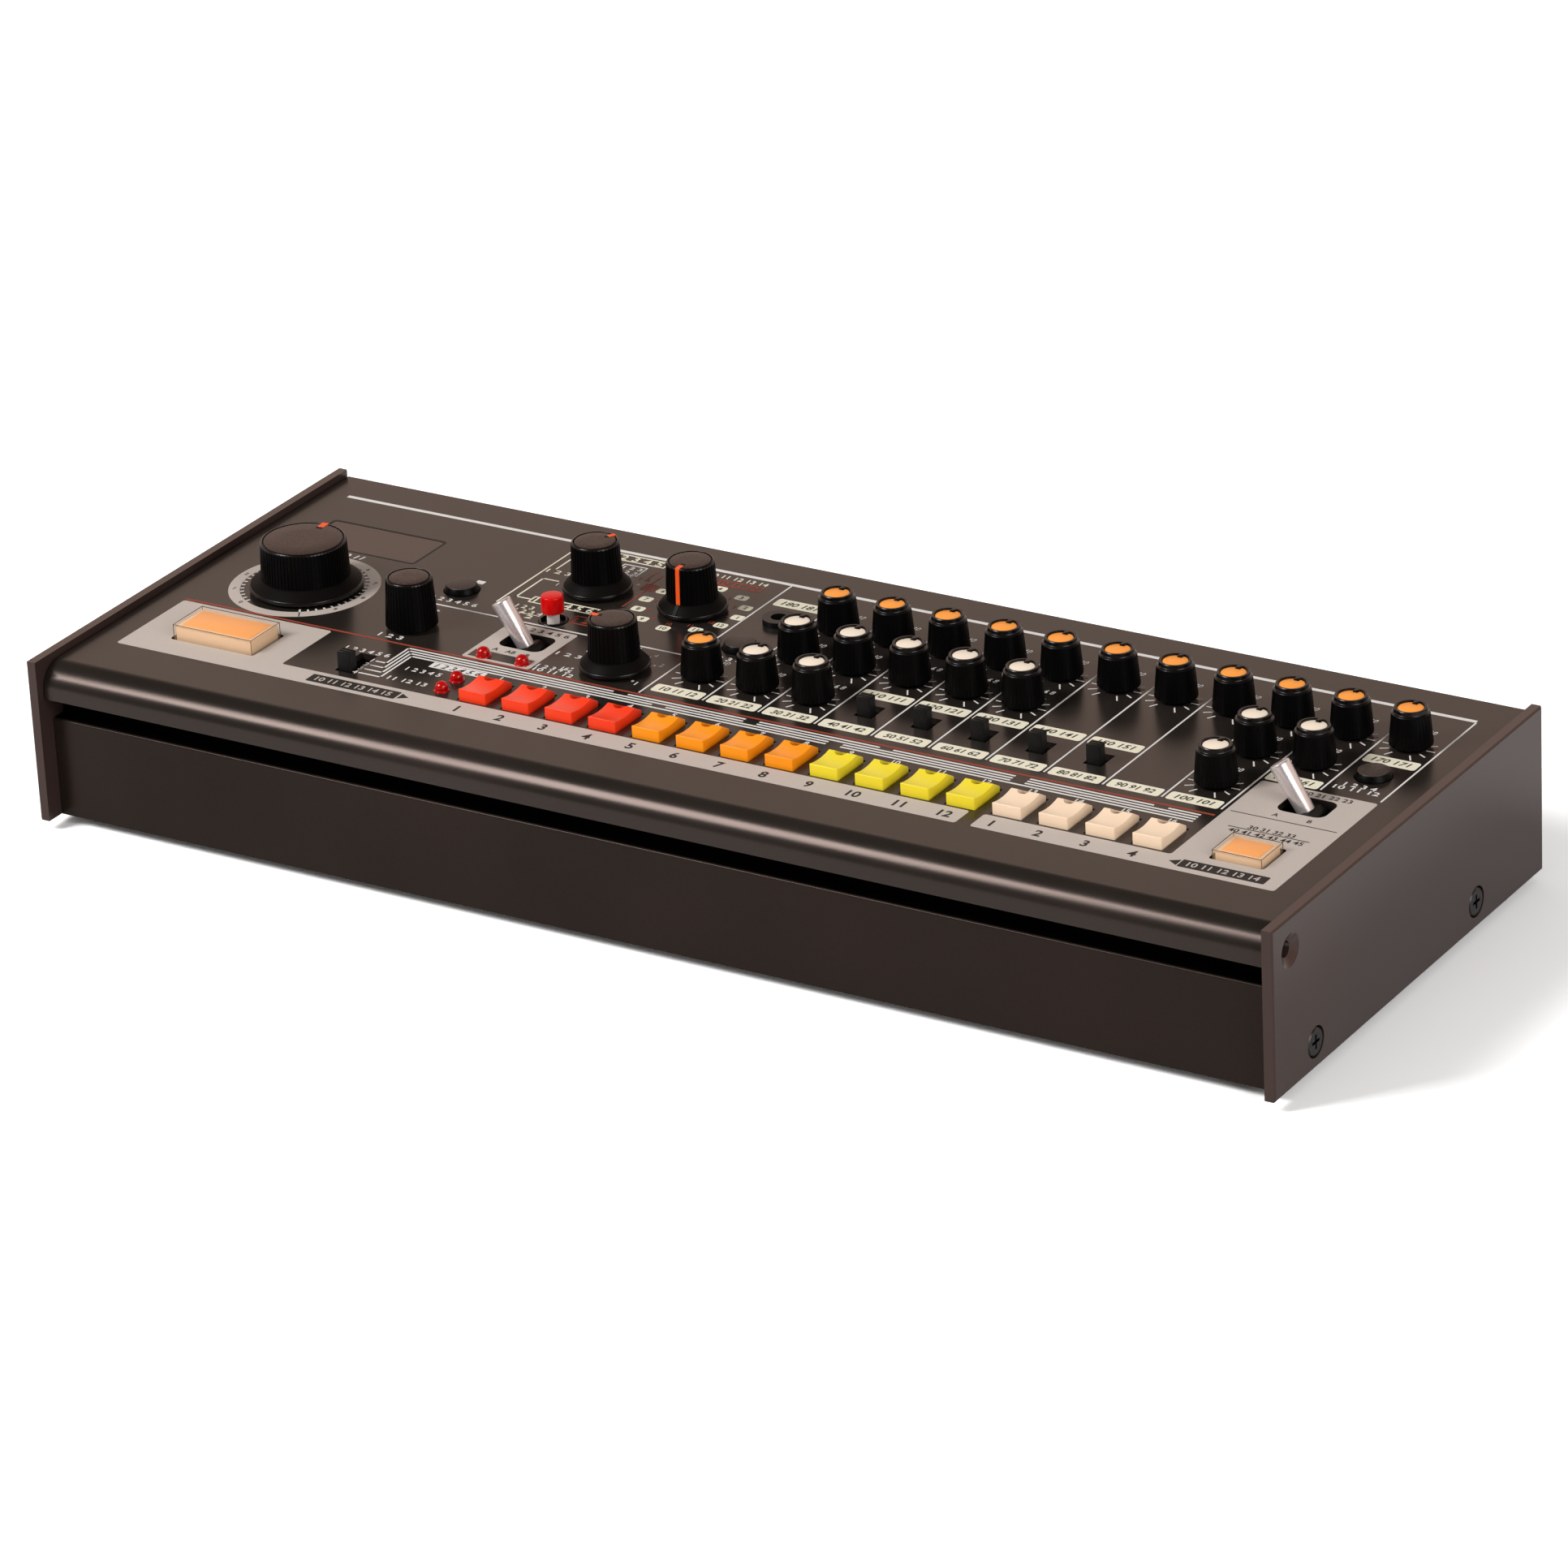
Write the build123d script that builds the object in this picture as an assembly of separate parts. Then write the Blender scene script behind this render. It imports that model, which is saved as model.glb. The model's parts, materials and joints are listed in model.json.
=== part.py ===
from build123d import *
import os
from math import cos, radians, sin

# A small desktop drum machine: a folded metal panel between two cheeks, on a moulded
# bottom case, with its knobs, keys, buttons and switches as separate moving pieces.
#
# Lengths are millimetres and angles are degrees. +X is the player's right, +Y points
# away from the player and +Z is up. The origin is on the table, under the middle of
# the whole outline.

# ------------------------------------------------------------------ driving sizes: case

case_width = 308.0
case_depth = 121.0
case_height = 38.2
foot_height = 2.5
foot_radius = 6.0
foot_bevel = 0.4
foot_inset = 17.0           # from each edge of the case to a foot's axis
volume_reach = 9.0          # the volume knob ends this far behind the case

cheek_thickness = 2.5
cheek_bevel = 0.4
cheek_rise = 1.65           # the cheeks stand above the panel by this
seam = 0.35                 # open joint between the panel and each cheek

panel_sheet = 1.5
nose_radius = 6.0           # rolled front edge of the panel
nose_setback = 2.0          # from the cheeks' front edges to the nose
lip_drop = 1.75             # straight lip under the roll

shell_wall = 2.0            # bottom case
fascia_setback = 4.56
fascia_height = 23.2
fascia_bevel = 0.5
groove_depth = 4.0          # dark groove between the nose and the fascia
rear_sheet = 2.0
cut_overrun = 1.0           # cuts run past the surfaces they open by this

# --------------------------------------------------------------- driving sizes: inside

board_sheet = 1.6
control_stack = 8.0         # from the panel's underside to the control board
board_margin = 1.5          # free space round the boards
jack_board_lift = 1.9       # the jack board's underside above the floor
jack_board_depth = 28.0
jack_board_width = 162.0
jack_board_overhang = 20.0  # past the volume axis, towards the right
jack_board_gap = 0.2        # to the rear panel
jack_axis_lift = 14.5       # jack and volume axes above the case's underside
post_radius = 3.0
case_post_radius = 4.5
post_inset_x = 8.5          # corner posts, from the sides of the case
post_inset_y = 14.0         # from the front edge, and a little less from the rear
rear_post_inset = 11.0
post_pilot_roof = 1.0       # left over a screw's pilot hole

screw_radius = 1.5
screw_head_radius = 3.2
screw_head_height = 1.5
screw_head_bevel = 0.3
screw_grip = 4.0            # how far a screw bites
cross_recess = 0.7

battery_door_width = 66.0
battery_door_depth = 54.0
battery_bay_height = 16.0
battery_ledge = 2.0
grip_groove_count = 3
grip_groove_length = 18.0
grip_groove_width = 1.2
grip_groove_depth = 0.6
grip_groove_pitch = 3.0
grip_groove_inset = 6.0     # from the door's rear edge to the first groove

# --------------------------------------------------------------------- fits and clearances

running_clearance = 0.05    # shafts and stems in their bores
slide_clearance = 0.10      # switch levers in their guides
door_clearance = 0.30
window_clearance = 0.20
module_clearance = 0.30     # from the display module up to the window
shaft_hole_clearance = 0.50
button_clearance = 0.20     # round buttons and lamps in the panel
key_clearance = 0.40        # keys in the panel
lit_button_clearance = 0.60 # start and tap buttons in the panel
travel_clearance = 0.35     # left under a button that is pushed right down
retaining_gap = 0.30        # from the panel's underside to a button's flange
screw_clearance = 0.05
screw_head_clearance = 0.10
socket_clearance = 0.20     # barrels in the panels

# ------------------------------------------------------------------- driving sizes: knobs

shaft_radius = 3.0
shaft_grip = 4.5            # how far a shaft stands in its potentiometer
pot_width = 9.8
pot_depth = 11.0
volume_pot_floor = 3.0      # left behind the volume shaft
knob_gap = 0.7              # from the panel to the underside of a knob

small_knob_radius = 4.75
small_shoulder_radius = 4.12
small_rim_radius = 3.6
small_knob_height = 9.25
small_shoulder_drop = 1.2
small_cap_radius = 2.88
small_cap_drop = 0.3
cap_sheet = 0.6
pointer_width = 0.9

selector_skirt_radius = 7.9
selector_body_radius = 5.8
selector_top_radius = 5.4
selector_height = 12.15

tempo_skirt_radius = 12.8
tempo_body_radius = 10.05
tempo_top_radius = 9.65
tempo_height = 11.9

skirt_rim = 0.95
skirt_cone = 1.85
knob_top_bevel = 0.45
top_disc_rim = 0.45         # ring left round a knob's top disc
top_disc_sheet = 0.5

value_base_radius = 5.85
value_top_radius = 5.2
value_height = 12.0

volume_knob_radius = 6.0
volume_knob_gap = 1.0

mode_turn = -25.0           # pointers, counted anticlockwise from the rear
instrument_turn = 180.0
fill_turn = 90.0

# ------------------------------------------------------- driving sizes: keys and buttons

key_width = 6.85
key_length = 10.6
key_height = 2.5
key_dish = 0.5              # hollow of the key's top
key_rear_height = 0.9
key_rear_slope = 2.6        # length of the sloping rear edge
key_notch_radius = 1.4
key_notch_shift = -0.4      # the lamp stands a little left of the key's middle
key_lamp_setback = 0.2      # from the rear of the key's top to its lamp
key_travel = 1.0
key_stem_setback = 3.9      # from the key's front to its stem

round_button_radius = 4.0
round_button_top_radius = 3.35
round_button_height = 1.6
round_button_edge_drop = 0.3
round_button_edge_width = 0.4
round_button_travel = 0.7

start_button_width = 21.0
start_button_depth = 11.2
start_button_height = 3.35
tap_button_width = 11.6
tap_button_depth = 9.3
tap_button_height = 1.9
lit_button_travel = 1.5
lit_cover_sheet = 0.6
lit_cover_gap = 0.02
lit_hole_corner = 0.8

clear_cap_radius = 2.55
clear_cap_top_radius = 2.5
clear_cap_height = 3.9
clear_cap_lift = 2.2
clear_cap_bevel = 0.3
clear_stem_radius = 1.43
clear_hole_radius = 3.45
clear_collar_radius = 2.55
clear_collar_drop = 0.6     # the collar ends this far below the panel's surface
clear_switch_floor = 0.4
clear_travel = 2.0

flange_width = 0.8
flange_sheet = 1.0
stem_radius = 1.5
stem_grip = 3.0
switch_side = 6.4           # square body of a push switch

# ----------------------------------------------------------- driving sizes: slides, toggles

slider_width = 3.2
slider_length = 2.8
slider_height = 4.4
slider_slot_width = 4.4
slider_travel = 2.6
slider_end_clearance = 0.4
slider_depth = 5.0          # how far a lever reaches below the panel's surface
slider_body_wall = 2.2
slider_bevel = 0.3
power_lever_reach = 3.0     # how far the power lever stands out of the rear panel
power_body_depth = 6.0

prescale_step = 2.23        # four places, one line apart
prescale_steps = 3

toggle_lean = 32.0          # to the left at rest, and as far to the right
toggle_pivot_depth = 3.0    # below the panel's surface
toggle_handle_start = 2.4   # from the pivot to the lower end of the bright handle
toggle_handle_length = 11.4
toggle_foot_radius = 1.85
toggle_tip_radius = 2.28
toggle_tip_bevel = 0.4
toggle_neck_radius = 1.4
toggle_hub_radius = 2.5
toggle_hub_width = 6.8
toggle_axle_radius = 0.8
toggle_axle_length = 12.0
toggle_slot_width = 11.0
toggle_slot_depth = 8.0
toggle_slot_corner = 2.0
toggle_ear_sheet = 2.2
toggle_ear_width = 6.0
toggle_ear_gap = 0.1        # to the panel's underside

# ------------------------------------------------- driving sizes: window, lamps and sockets

window_width = 30.3
window_depth = 13.5
window_corner = 1.5
window_flange = 1.5
window_flange_sheet = 0.8
module_margin = 1.0         # the display module is this much smaller on each side

lamp_radius = 1.5
lamp_height = 2.2           # above the panel
lamp_dome = 0.95            # share of a lamp's radius that is rounded over
key_lamp_radius = 1.1
key_lamp_drop = 0.3         # the key lamps end this far below the keys' tops

small_jack_bore = 1.8
small_jack_nut = 3.7
large_jack_bore = 3.25
large_jack_nut = 7.0
nut_sheet = 1.4
jack_bore_depth = 14.0
large_jack_depth = 24.0
socket_wall = 1.6
trigger_body_side = 7.8
din_barrel_radius = 8.0
din_groove_radius = 7.4     # round groove that takes the plug's shell
din_insert_radius = 6.1
din_groove_depth = 8.0
din_side = 18.0
din_body_depth = 12.0
din_contact_radius = 0.8    # five holes for the plug's pins
din_contact_circle = 3.75
din_contact_depth = 6.0
din_contact_turns = [0, 45, 90, 135, 180]
usb_width = 7.0
usb_height = 2.2
usb_shell = 0.9
usb_depth = 6.0
usb_floor = 1.0

# ---------------------------------------------------------------------- panel layout
# "Back" values are distances behind the cheeks' front edges. Other places are counted
# in from the left or the right side of the case.

left_side = -case_width / 2
right_side = case_width / 2

first_column_in = 136.8     # from the left side
function_shift = 0.6        # the function button stands a little left of that column
last_column_in = 17.2       # from the right side
lower_row_back = 60.3
middle_row_back = 77.4
upper_row_back = 94.1

first_key_in = 98.95        # from the left side
last_key_in = 43.45         # from the right side
key_front_back = 27.3

# a name in _in is measured inwards from the side that the next line names
tempo_in, tempo_back = 30.9, 63.35
tempo_x = left_side + tempo_in
value_in, value_back = 64.45, 55.6
value_x = left_side + value_in
mode_in, mode_back = 91.0, 89.95
mode_x = left_side + mode_in
instrument_in, instrument_back = 116.0, 89.75
instrument_x = left_side + instrument_in
fill_in, fill_back = 117.4, 55.6
fill_x = left_side + fill_in
window_in, window_back = 30.15, 91.25
window_x = left_side + window_in

shuffle_in, shuffle_back = 63.3, 77.15
shuffle_x = left_side + shuffle_in
function_x, function_back = left_side + first_column_in - function_shift, 76.9
menu_in, menu_back = 17.45, 77.5
menu_x = right_side - menu_in
clear_in, clear_back = 91.0, 71.8
clear_x = left_side + clear_in
start_in, start_back = 30.6, 33.0
start_x = left_side + start_in
tap_in, tap_back = 23.2, 33.0
tap_x = right_side - tap_in

variation_toggle_in, variation_toggle_back = 93.2, 59.3
variation_toggle_x = left_side + variation_toggle_in
intro_toggle_in, intro_toggle_back = 22.0, 58.4
intro_toggle_x = right_side - intro_toggle_in
toggle_slot_shift = -0.9    # the slot's middle from the pivot

slider_column_shift = 0.2
slider_back = 60.0
prescale_in, prescale_back = 64.5, 33.6
prescale_x = left_side + prescale_in

trigger_jack_x, trigger_jack_back = left_side + first_column_in, 92.1

pair_lamp_in, pair_lamp_back, pair_lamp_pitch = 92.65, 49.0, 10.1
pair_lamp_x = left_side + pair_lamp_in
part_lamp_in, part_lamp_back, part_lamp_pitch = 89.6, 29.6, 5.9
part_lamp_x = left_side + part_lamp_in

# rear panel layout, and what stands beside it inside
volume_shift = 21.0         # from the power switch
phones_shift = 18.0         # from the volume knob
audio_jack_pitch = 22.0
midi_shift = 26.0           # from the last audio socket
midi_socket_pitch = 24.0
usb_shift = 22.0            # from the last round socket
middle_post_shift = 16.0    # from the flat socket
power_in = 23.0
power_x = right_side - power_in
power_slot_width = 8.0
volume_x = power_x - volume_shift
phones_x = volume_x - phones_shift
mix_out_x = phones_x - audio_jack_pitch
mix_in_x = mix_out_x - audio_jack_pitch
midi_out_x = mix_in_x - midi_shift
midi_in_x = midi_out_x - midi_socket_pitch
usb_x = midi_in_x - usb_shift
middle_post_x = usb_x - middle_post_shift
battery_bay_in = 82.0
battery_bay_x = left_side + battery_bay_in

# cheek fastenings: (distance behind the front edge, height above the case's underside)
cheek_screws = [(17.6, 5.9), (89.6, 6.0)]
cheek_screw_well_radius = 3.5
cheek_eye_back, cheek_eye_lift = 7.5, 31.0
cheek_eye_radius = 1.8
cheek_eye_mouth = 3.75
cheek_eye_depth = 1.2       # depth of the countersink

# --------------------------------------------------------------------- derived levels

front = -(case_depth + volume_reach) / 2
rear = front + case_depth
case_bottom = foot_height
case_top = case_bottom + case_height
panel_top = case_top - cheek_rise
panel_under = panel_top - panel_sheet
board_top = panel_under - control_stack
board_under = board_top - board_sheet
floor_top = case_bottom + shell_wall
jack_board_under = floor_top + jack_board_lift
jack_board_top = jack_board_under + board_sheet
jack_axis = case_bottom + jack_axis_lift
rear_inside = rear - rear_sheet
half_inside = case_width / 2 - cheek_thickness
half_panel = half_inside - seam
fascia_face = front + fascia_setback
groove_face = fascia_face + groove_depth
stack = panel_top - board_top
cheek_screw_end = cheek_thickness + shell_wall + screw_grip

columns = [
    "accent", "bass_drum", "snare_drum", "low_tom", "mid_tom", "high_tom",
    "rim_shot", "hand_clap", "cowbell", "cymbal", "open_hihat", "closed_hihat",
]
columns_width = case_width - first_column_in - last_column_in
column_pitch = columns_width / (len(columns) - 1)
column_x = {
    name: left_side + first_column_in + i * column_pitch
    for i, name in enumerate(columns)
}
row_back = {
    "upper": upper_row_back,
    "middle": middle_row_back,
    "lower": lower_row_back,
}
small_knobs = {
    "accent_level_knob": ("accent", "lower"),
    "bass_drum_tone_knob": ("bass_drum", "middle"),
    "bass_drum_decay_knob": ("bass_drum", "lower"),
    "snare_drum_tone_knob": ("snare_drum", "middle"),
    "snare_drum_snappy_knob": ("snare_drum", "lower"),
    "low_tom_tuning_knob": ("low_tom", "middle"),
    "mid_tom_tuning_knob": ("mid_tom", "middle"),
    "high_tom_tuning_knob": ("high_tom", "middle"),
    "cymbal_tone_knob": ("cymbal", "middle"),
    "cymbal_decay_knob": ("cymbal", "lower"),
    "open_hihat_decay_knob": ("open_hihat", "middle"),
}
for voice in columns[1:]:
    small_knobs[voice + "_level_knob"] = (voice, "upper")
slider_columns = ["low_tom", "mid_tom", "high_tom", "rim_shot", "hand_clap"]
key_banks = ["step_keys_1_4", "step_keys_5_8", "step_keys_9_12", "step_keys_13_16"]
keys_per_bank = 4
key_count = len(key_banks) * keys_per_bank
key_pitch = (case_width - first_key_in - last_key_in) / (key_count - 1)
key_x = [left_side + first_key_in + i * key_pitch for i in range(key_count)]


def y_at(back):
    """Y of a place that lies this far behind the cheeks' front edges."""
    return front + back


def at_panel(x, back):
    """Location on the panel's surface."""
    return Pos(x, y_at(back), panel_top)


# -------------------------------------------------------------------------- shape helpers

def block(x_range, y_range, z_range):
    """Box between two values on each axis."""
    spans = (x_range, y_range, z_range)
    middle = [(low + high) / 2 for low, high in spans]
    return Pos(*middle) * Box(*[high - low for low, high in spans])


def rod(radius, low, high):
    """Upright cylinder on the Z axis between two heights."""
    return Pos(0, 0, (low + high) / 2) * Cylinder(radius, high - low)


def turned(profile):
    """Solid of revolution about Z from (radius, height) corners."""
    corners = [(radius, 0, height) for radius, height in profile]
    return revolve(Face(Wire.make_polygon(corners, close=True)), Axis.Z)


def swept_across(corners, x_range):
    """Solid with a (y, z) outline, running across the machine."""
    outline = Wire.make_polygon([(x_range[0], y, z) for y, z in corners], close=True)
    return extrude(Face(outline), x_range[1] - x_range[0], dir=(1, 0, 0))


def square(side_x, side_y, z_range):
    """Box centred on the Z axis between two heights."""
    return block((-side_x / 2, side_x / 2), (-side_y / 2, side_y / 2), z_range)


def mirrored(shape):
    """The same shape on the other side of the machine."""
    return mirror(shape, Plane.YZ)


def backwards(shape):
    """Turn a shape built along +Z so that it points to the rear."""
    return Rot(-90, 0, 0) * shape


# ---------------------------------------------------------------------------- the layout

rotary = {}
for name, (column, row) in small_knobs.items():
    rotary[name] = (column_x[column], row_back[row])
rotary["tempo_knob"] = (tempo_x, tempo_back)
rotary["value_knob"] = (value_x, value_back)
rotary["mode_knob"] = (mode_x, mode_back)
rotary["instrument_knob"] = (instrument_x, instrument_back)
rotary["fill_knob"] = (fill_x, fill_back)

round_buttons = {
    "shuffle_button": (shuffle_x, shuffle_back),
    "function_button": (function_x, function_back),
    "menu_button": (menu_x, menu_back),
}
lit_buttons = {
    "start_button": (
        start_x, start_back, start_button_width, start_button_depth, start_button_height),
    "tap_button": (
        tap_x, tap_back, tap_button_width, tap_button_depth, tap_button_height),
}
toggles = {
    "variation_toggle": (variation_toggle_x, variation_toggle_back),
    "intro_toggle": (intro_toggle_x, intro_toggle_back),
}
# name: (x, back, travel)
sliders = {
    name + "_switch": (column_x[name] + slider_column_shift, slider_back, slider_travel)
    for name in slider_columns
}
sliders["prescale_switch"] = (prescale_x, prescale_back, prescale_step * prescale_steps)

key_middle_back = key_front_back + key_length / 2
key_stem_back = key_front_back + key_stem_setback
key_top_length = key_length - key_rear_slope
key_lamp_back = key_front_back + key_top_length + key_lamp_setback
tall_lamps = [
    (pair_lamp_x - pair_lamp_pitch / 2, pair_lamp_back),
    (pair_lamp_x + pair_lamp_pitch / 2, pair_lamp_back),
    (part_lamp_x, part_lamp_back),
    (part_lamp_x, part_lamp_back + part_lamp_pitch),
]
key_lamps = [(x + key_notch_shift, key_lamp_back) for x in key_x]

corner_post_x = right_side - post_inset_x
posts = [
    (x, back)
    for x in (-corner_post_x, middle_post_x, corner_post_x)
    for back in (post_inset_y, case_depth - rear_post_inset)
]

# depths below the panel's surface, shared by the buttons and their switches
flange_top = -panel_sheet - retaining_gap
flange_under = flange_top - flange_sheet


def switch_roof(travel):
    """Top of a push switch, just clear of the flange when it is right down."""
    return flange_under - travel - travel_clearance


def stem_end(travel):
    """Lower end of a button's stem at rest."""
    return switch_roof(travel) - stem_grip


# ---------------------------------------------------------------------------------- knobs

shaft_end = -panel_sheet - travel_clearance - shaft_grip


def knob_disc(radius, height):
    """Disc let into the top of a knob."""
    return rod(radius, height - top_disc_sheet, height)


def plain_knob(base_radius, top_radius, height):
    """Tapered knob with its shaft and top disc, and no skirt."""
    disc_radius = top_radius - knob_top_bevel - top_disc_rim
    body = turned([
        (0, shaft_end), (shaft_radius, shaft_end), (shaft_radius, knob_gap),
        (base_radius, knob_gap), (top_radius, height - knob_top_bevel),
        (top_radius - knob_top_bevel, height), (disc_radius, height),
        (disc_radius, height - top_disc_sheet), (0, height - top_disc_sheet),
    ])
    return [body, knob_disc(disc_radius, height)]


def skirted_knob(skirt_radius, body_radius, top_radius, height, turn):
    """Pointer knob with a conical skirt; its pointer notch is turned from the rear."""
    rim_top = knob_gap + skirt_rim
    cone_top = rim_top + skirt_cone
    disc_radius = top_radius - knob_top_bevel - top_disc_rim
    disc_under = height - top_disc_sheet
    body = turned([
        (0, shaft_end), (shaft_radius, shaft_end), (shaft_radius, knob_gap),
        (skirt_radius, knob_gap), (skirt_radius, rim_top),
        (body_radius, cone_top), (top_radius, height - knob_top_bevel),
        (top_radius - knob_top_bevel, height), (disc_radius, height),
        (disc_radius, disc_under), (0, disc_under),
    ])
    half = pointer_width / 2
    reach = (disc_radius - pointer_width, top_radius + pointer_width)
    notch = block((-half, half), reach, (disc_under, height + pointer_width))
    disc = knob_disc(disc_radius, height) - notch
    return [Rot(0, 0, turn) * (body - notch), Rot(0, 0, turn) * disc]


def small_knob():
    """Tapered control knob with a coloured cap sunk in its rim and a pointer bar."""
    shoulder = small_knob_height - small_shoulder_drop
    cap_top = small_knob_height - small_cap_drop
    cap_under = cap_top - cap_sheet
    body = turned([
        (0, shaft_end), (shaft_radius, shaft_end), (shaft_radius, knob_gap),
        (small_knob_radius, knob_gap), (small_shoulder_radius, shoulder),
        (small_rim_radius, shoulder + small_cap_drop),
        (small_rim_radius, small_knob_height), (small_cap_radius, small_knob_height),
        (small_cap_radius, cap_under), (0, cap_under),
    ])
    half = pointer_width / 2
    reach = (small_cap_radius / 2, (small_cap_radius + small_rim_radius) / 2)
    bar = block((-half, half), reach, (cap_under, small_knob_height))
    cap = rod(small_cap_radius, cap_under, cap_top) - bar
    return [body + bar, cap]


def volume_knob():
    """Plain round knob on the rear, built pointing up and then turned to the rear."""
    length = volume_reach - volume_knob_gap
    body = turned([
        (0, -rear_sheet - travel_clearance - shaft_grip),
        (shaft_radius, -rear_sheet - travel_clearance - shaft_grip),
        (shaft_radius, volume_knob_gap), (volume_knob_radius, volume_knob_gap),
        (volume_knob_radius, volume_knob_gap + length - knob_top_bevel),
        (volume_knob_radius - knob_top_bevel, volume_reach), (0, volume_reach),
    ])
    half = pointer_width / 2
    cut = (volume_reach - top_disc_sheet, volume_reach + pointer_width)
    line = block((-half, half), (volume_knob_radius / 2, volume_knob_radius * 2), cut)
    return [Pos(volume_x, rear, jack_axis) * backwards(body - line)]


# ------------------------------------------------------------------------ keys and buttons

def stem(travel):
    """Round stem from a button's flange down into its switch."""
    return rod(stem_radius, stem_end(travel), flange_under)


def flange(width, depth):
    """Plate under the panel that keeps a button in."""
    edge = 2 * flange_width
    return square(width + edge, depth + edge, (flange_under, flange_top))


def step_key():
    """Key with a dished top, a sloping rear edge and a round notch for its lamp."""
    half_width = key_width / 2
    start = -key_length / 2
    slope_start = start + key_top_length
    side = [
        Line((start, flange_top), (start, key_height)),
        ThreePointArc(
            (start, key_height),
            ((start + slope_start) / 2, key_height - key_dish),
            (slope_start, key_height),
        ),
        Line((slope_start, key_height), (-start, key_rear_height)),
        Line((-start, key_rear_height), (-start, flange_top)),
        Line((-start, flange_top), (start, flange_top)),
    ]
    outline = Plane.YZ * make_face(side)
    body = extrude(outline, half_width, both=True)
    own_stem = Pos(0, key_stem_back - key_middle_back, 0) * stem(key_travel)
    body = body + flange(key_width, key_length) + own_stem
    notch_y = key_lamp_back - key_middle_back
    notch = rod(key_notch_radius, flange_under - cut_overrun, key_height + cut_overrun)
    return body - Pos(key_notch_shift, notch_y, 0) * notch


def round_button():
    """Domed rubber button in a round hole."""
    wide = round_button_radius + flange_width
    travel = round_button_travel
    return turned([
        (0, stem_end(travel)), (stem_radius, stem_end(travel)),
        (stem_radius, flange_under), (wide, flange_under), (wide, flange_top),
        (round_button_radius, flange_top), (round_button_radius, 0),
        (round_button_top_radius, round_button_height - round_button_edge_drop),
        (round_button_top_radius - round_button_edge_width, round_button_height),
        (0, round_button_height),
    ])


def lit_button(width, depth, height):
    """Square button: a cream body under a clear cover."""
    roof = height - lit_cover_sheet
    shrink = 2 * lit_cover_sheet
    body = square(width - shrink, depth - shrink, (flange_top, roof))
    body = body + flange(width, depth) + stem(lit_button_travel)
    cover = square(width, depth, (flange_top, height))
    cover = fillet(cover.edges().group_by(Axis.Z)[-1], lit_cover_sheet / 2)
    hollow_x = width - shrink + 2 * lit_cover_gap
    hollow_y = depth - shrink + 2 * lit_cover_gap
    hollow = square(hollow_x, hollow_y, (flange_top - cut_overrun, roof))
    return [body, cover - hollow]


def clear_button():
    """Red cap on a thin white stem."""
    lower = -panel_sheet - retaining_gap - stem_grip - clear_travel
    cap_top = clear_cap_lift + clear_cap_height
    cap = turned([
        (0, clear_cap_lift), (clear_cap_radius, clear_cap_lift),
        (clear_cap_radius, clear_cap_lift + clear_cap_height / 2),
        (clear_cap_top_radius, cap_top - clear_cap_bevel),
        (clear_cap_top_radius - clear_cap_bevel, cap_top), (0, cap_top),
    ])
    return [cap, rod(clear_stem_radius, lower, clear_cap_lift)]


# --------------------------------------------------------------------- slides and toggles

def slider_lever(travel):
    """Switch lever, standing at the front end of its travel."""
    start = -travel / 2 - slider_length / 2
    span = (start, start + slider_length)
    half = slider_width / 2
    lever = block((-half, half), span, (-slider_depth, slider_height))
    return chamfer(lever.edges().group_by(Axis.Z)[-1], slider_bevel)


def slider_slot(travel, width, z_range, end):
    """Space for a lever over its whole travel."""
    length = travel + slider_length + 2 * end
    return square(width, length, z_range)


def slider_body(travel):
    """Switch body under the panel, with a guide for the lever."""
    roof = -panel_sheet - retaining_gap
    wall = 2 * slider_body_wall
    width = slider_width + wall
    length = travel + slider_length + 2 * slider_end_clearance + wall
    guide = slider_width + 2 * slide_clearance
    floor = -slider_depth - travel_clearance
    body = square(width, length, (-stack, roof))
    span = (floor, roof + cut_overrun)
    return body - slider_slot(travel, guide, span, slider_end_clearance)


def toggle():
    """Bright tapered handle on a black hub, leaning to the left."""
    handle_end = toggle_handle_start + toggle_handle_length
    handle = turned([
        (0, toggle_handle_start), (toggle_foot_radius, toggle_handle_start),
        (toggle_tip_radius, handle_end - toggle_tip_bevel),
        (toggle_tip_radius - toggle_tip_bevel, handle_end), (0, handle_end),
    ])
    hub = Rot(90, 0, 0) * Cylinder(toggle_hub_radius, toggle_hub_width)
    axle = Rot(90, 0, 0) * Cylinder(toggle_axle_radius, toggle_axle_length)
    neck = rod(toggle_neck_radius, 0, toggle_handle_start)
    lean = Pos(0, 0, -toggle_pivot_depth) * Rot(0, -toggle_lean, 0)
    return [lean * handle, lean * (hub + axle + neck)]


def toggle_body():
    """Switch body with two ears that carry the toggle's axle."""
    ear_inside = toggle_hub_width / 2 + travel_clearance
    ear_outside = ear_inside + toggle_ear_sheet
    ear_roof = -panel_sheet - toggle_ear_gap
    well_floor = -toggle_pivot_depth - toggle_hub_radius - travel_clearance
    body = square(toggle_ear_width, 2 * ear_outside, (-stack, ear_roof))
    well = square(toggle_ear_width + cut_overrun, 2 * ear_inside, (well_floor, 0))
    bore = Rot(90, 0, 0) * Cylinder(
        toggle_axle_radius + running_clearance, toggle_axle_length + 2 * cut_overrun)
    return body - well - Pos(0, 0, -toggle_pivot_depth) * bore


# -------------------------------------------------------------------------- panel and case

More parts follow.
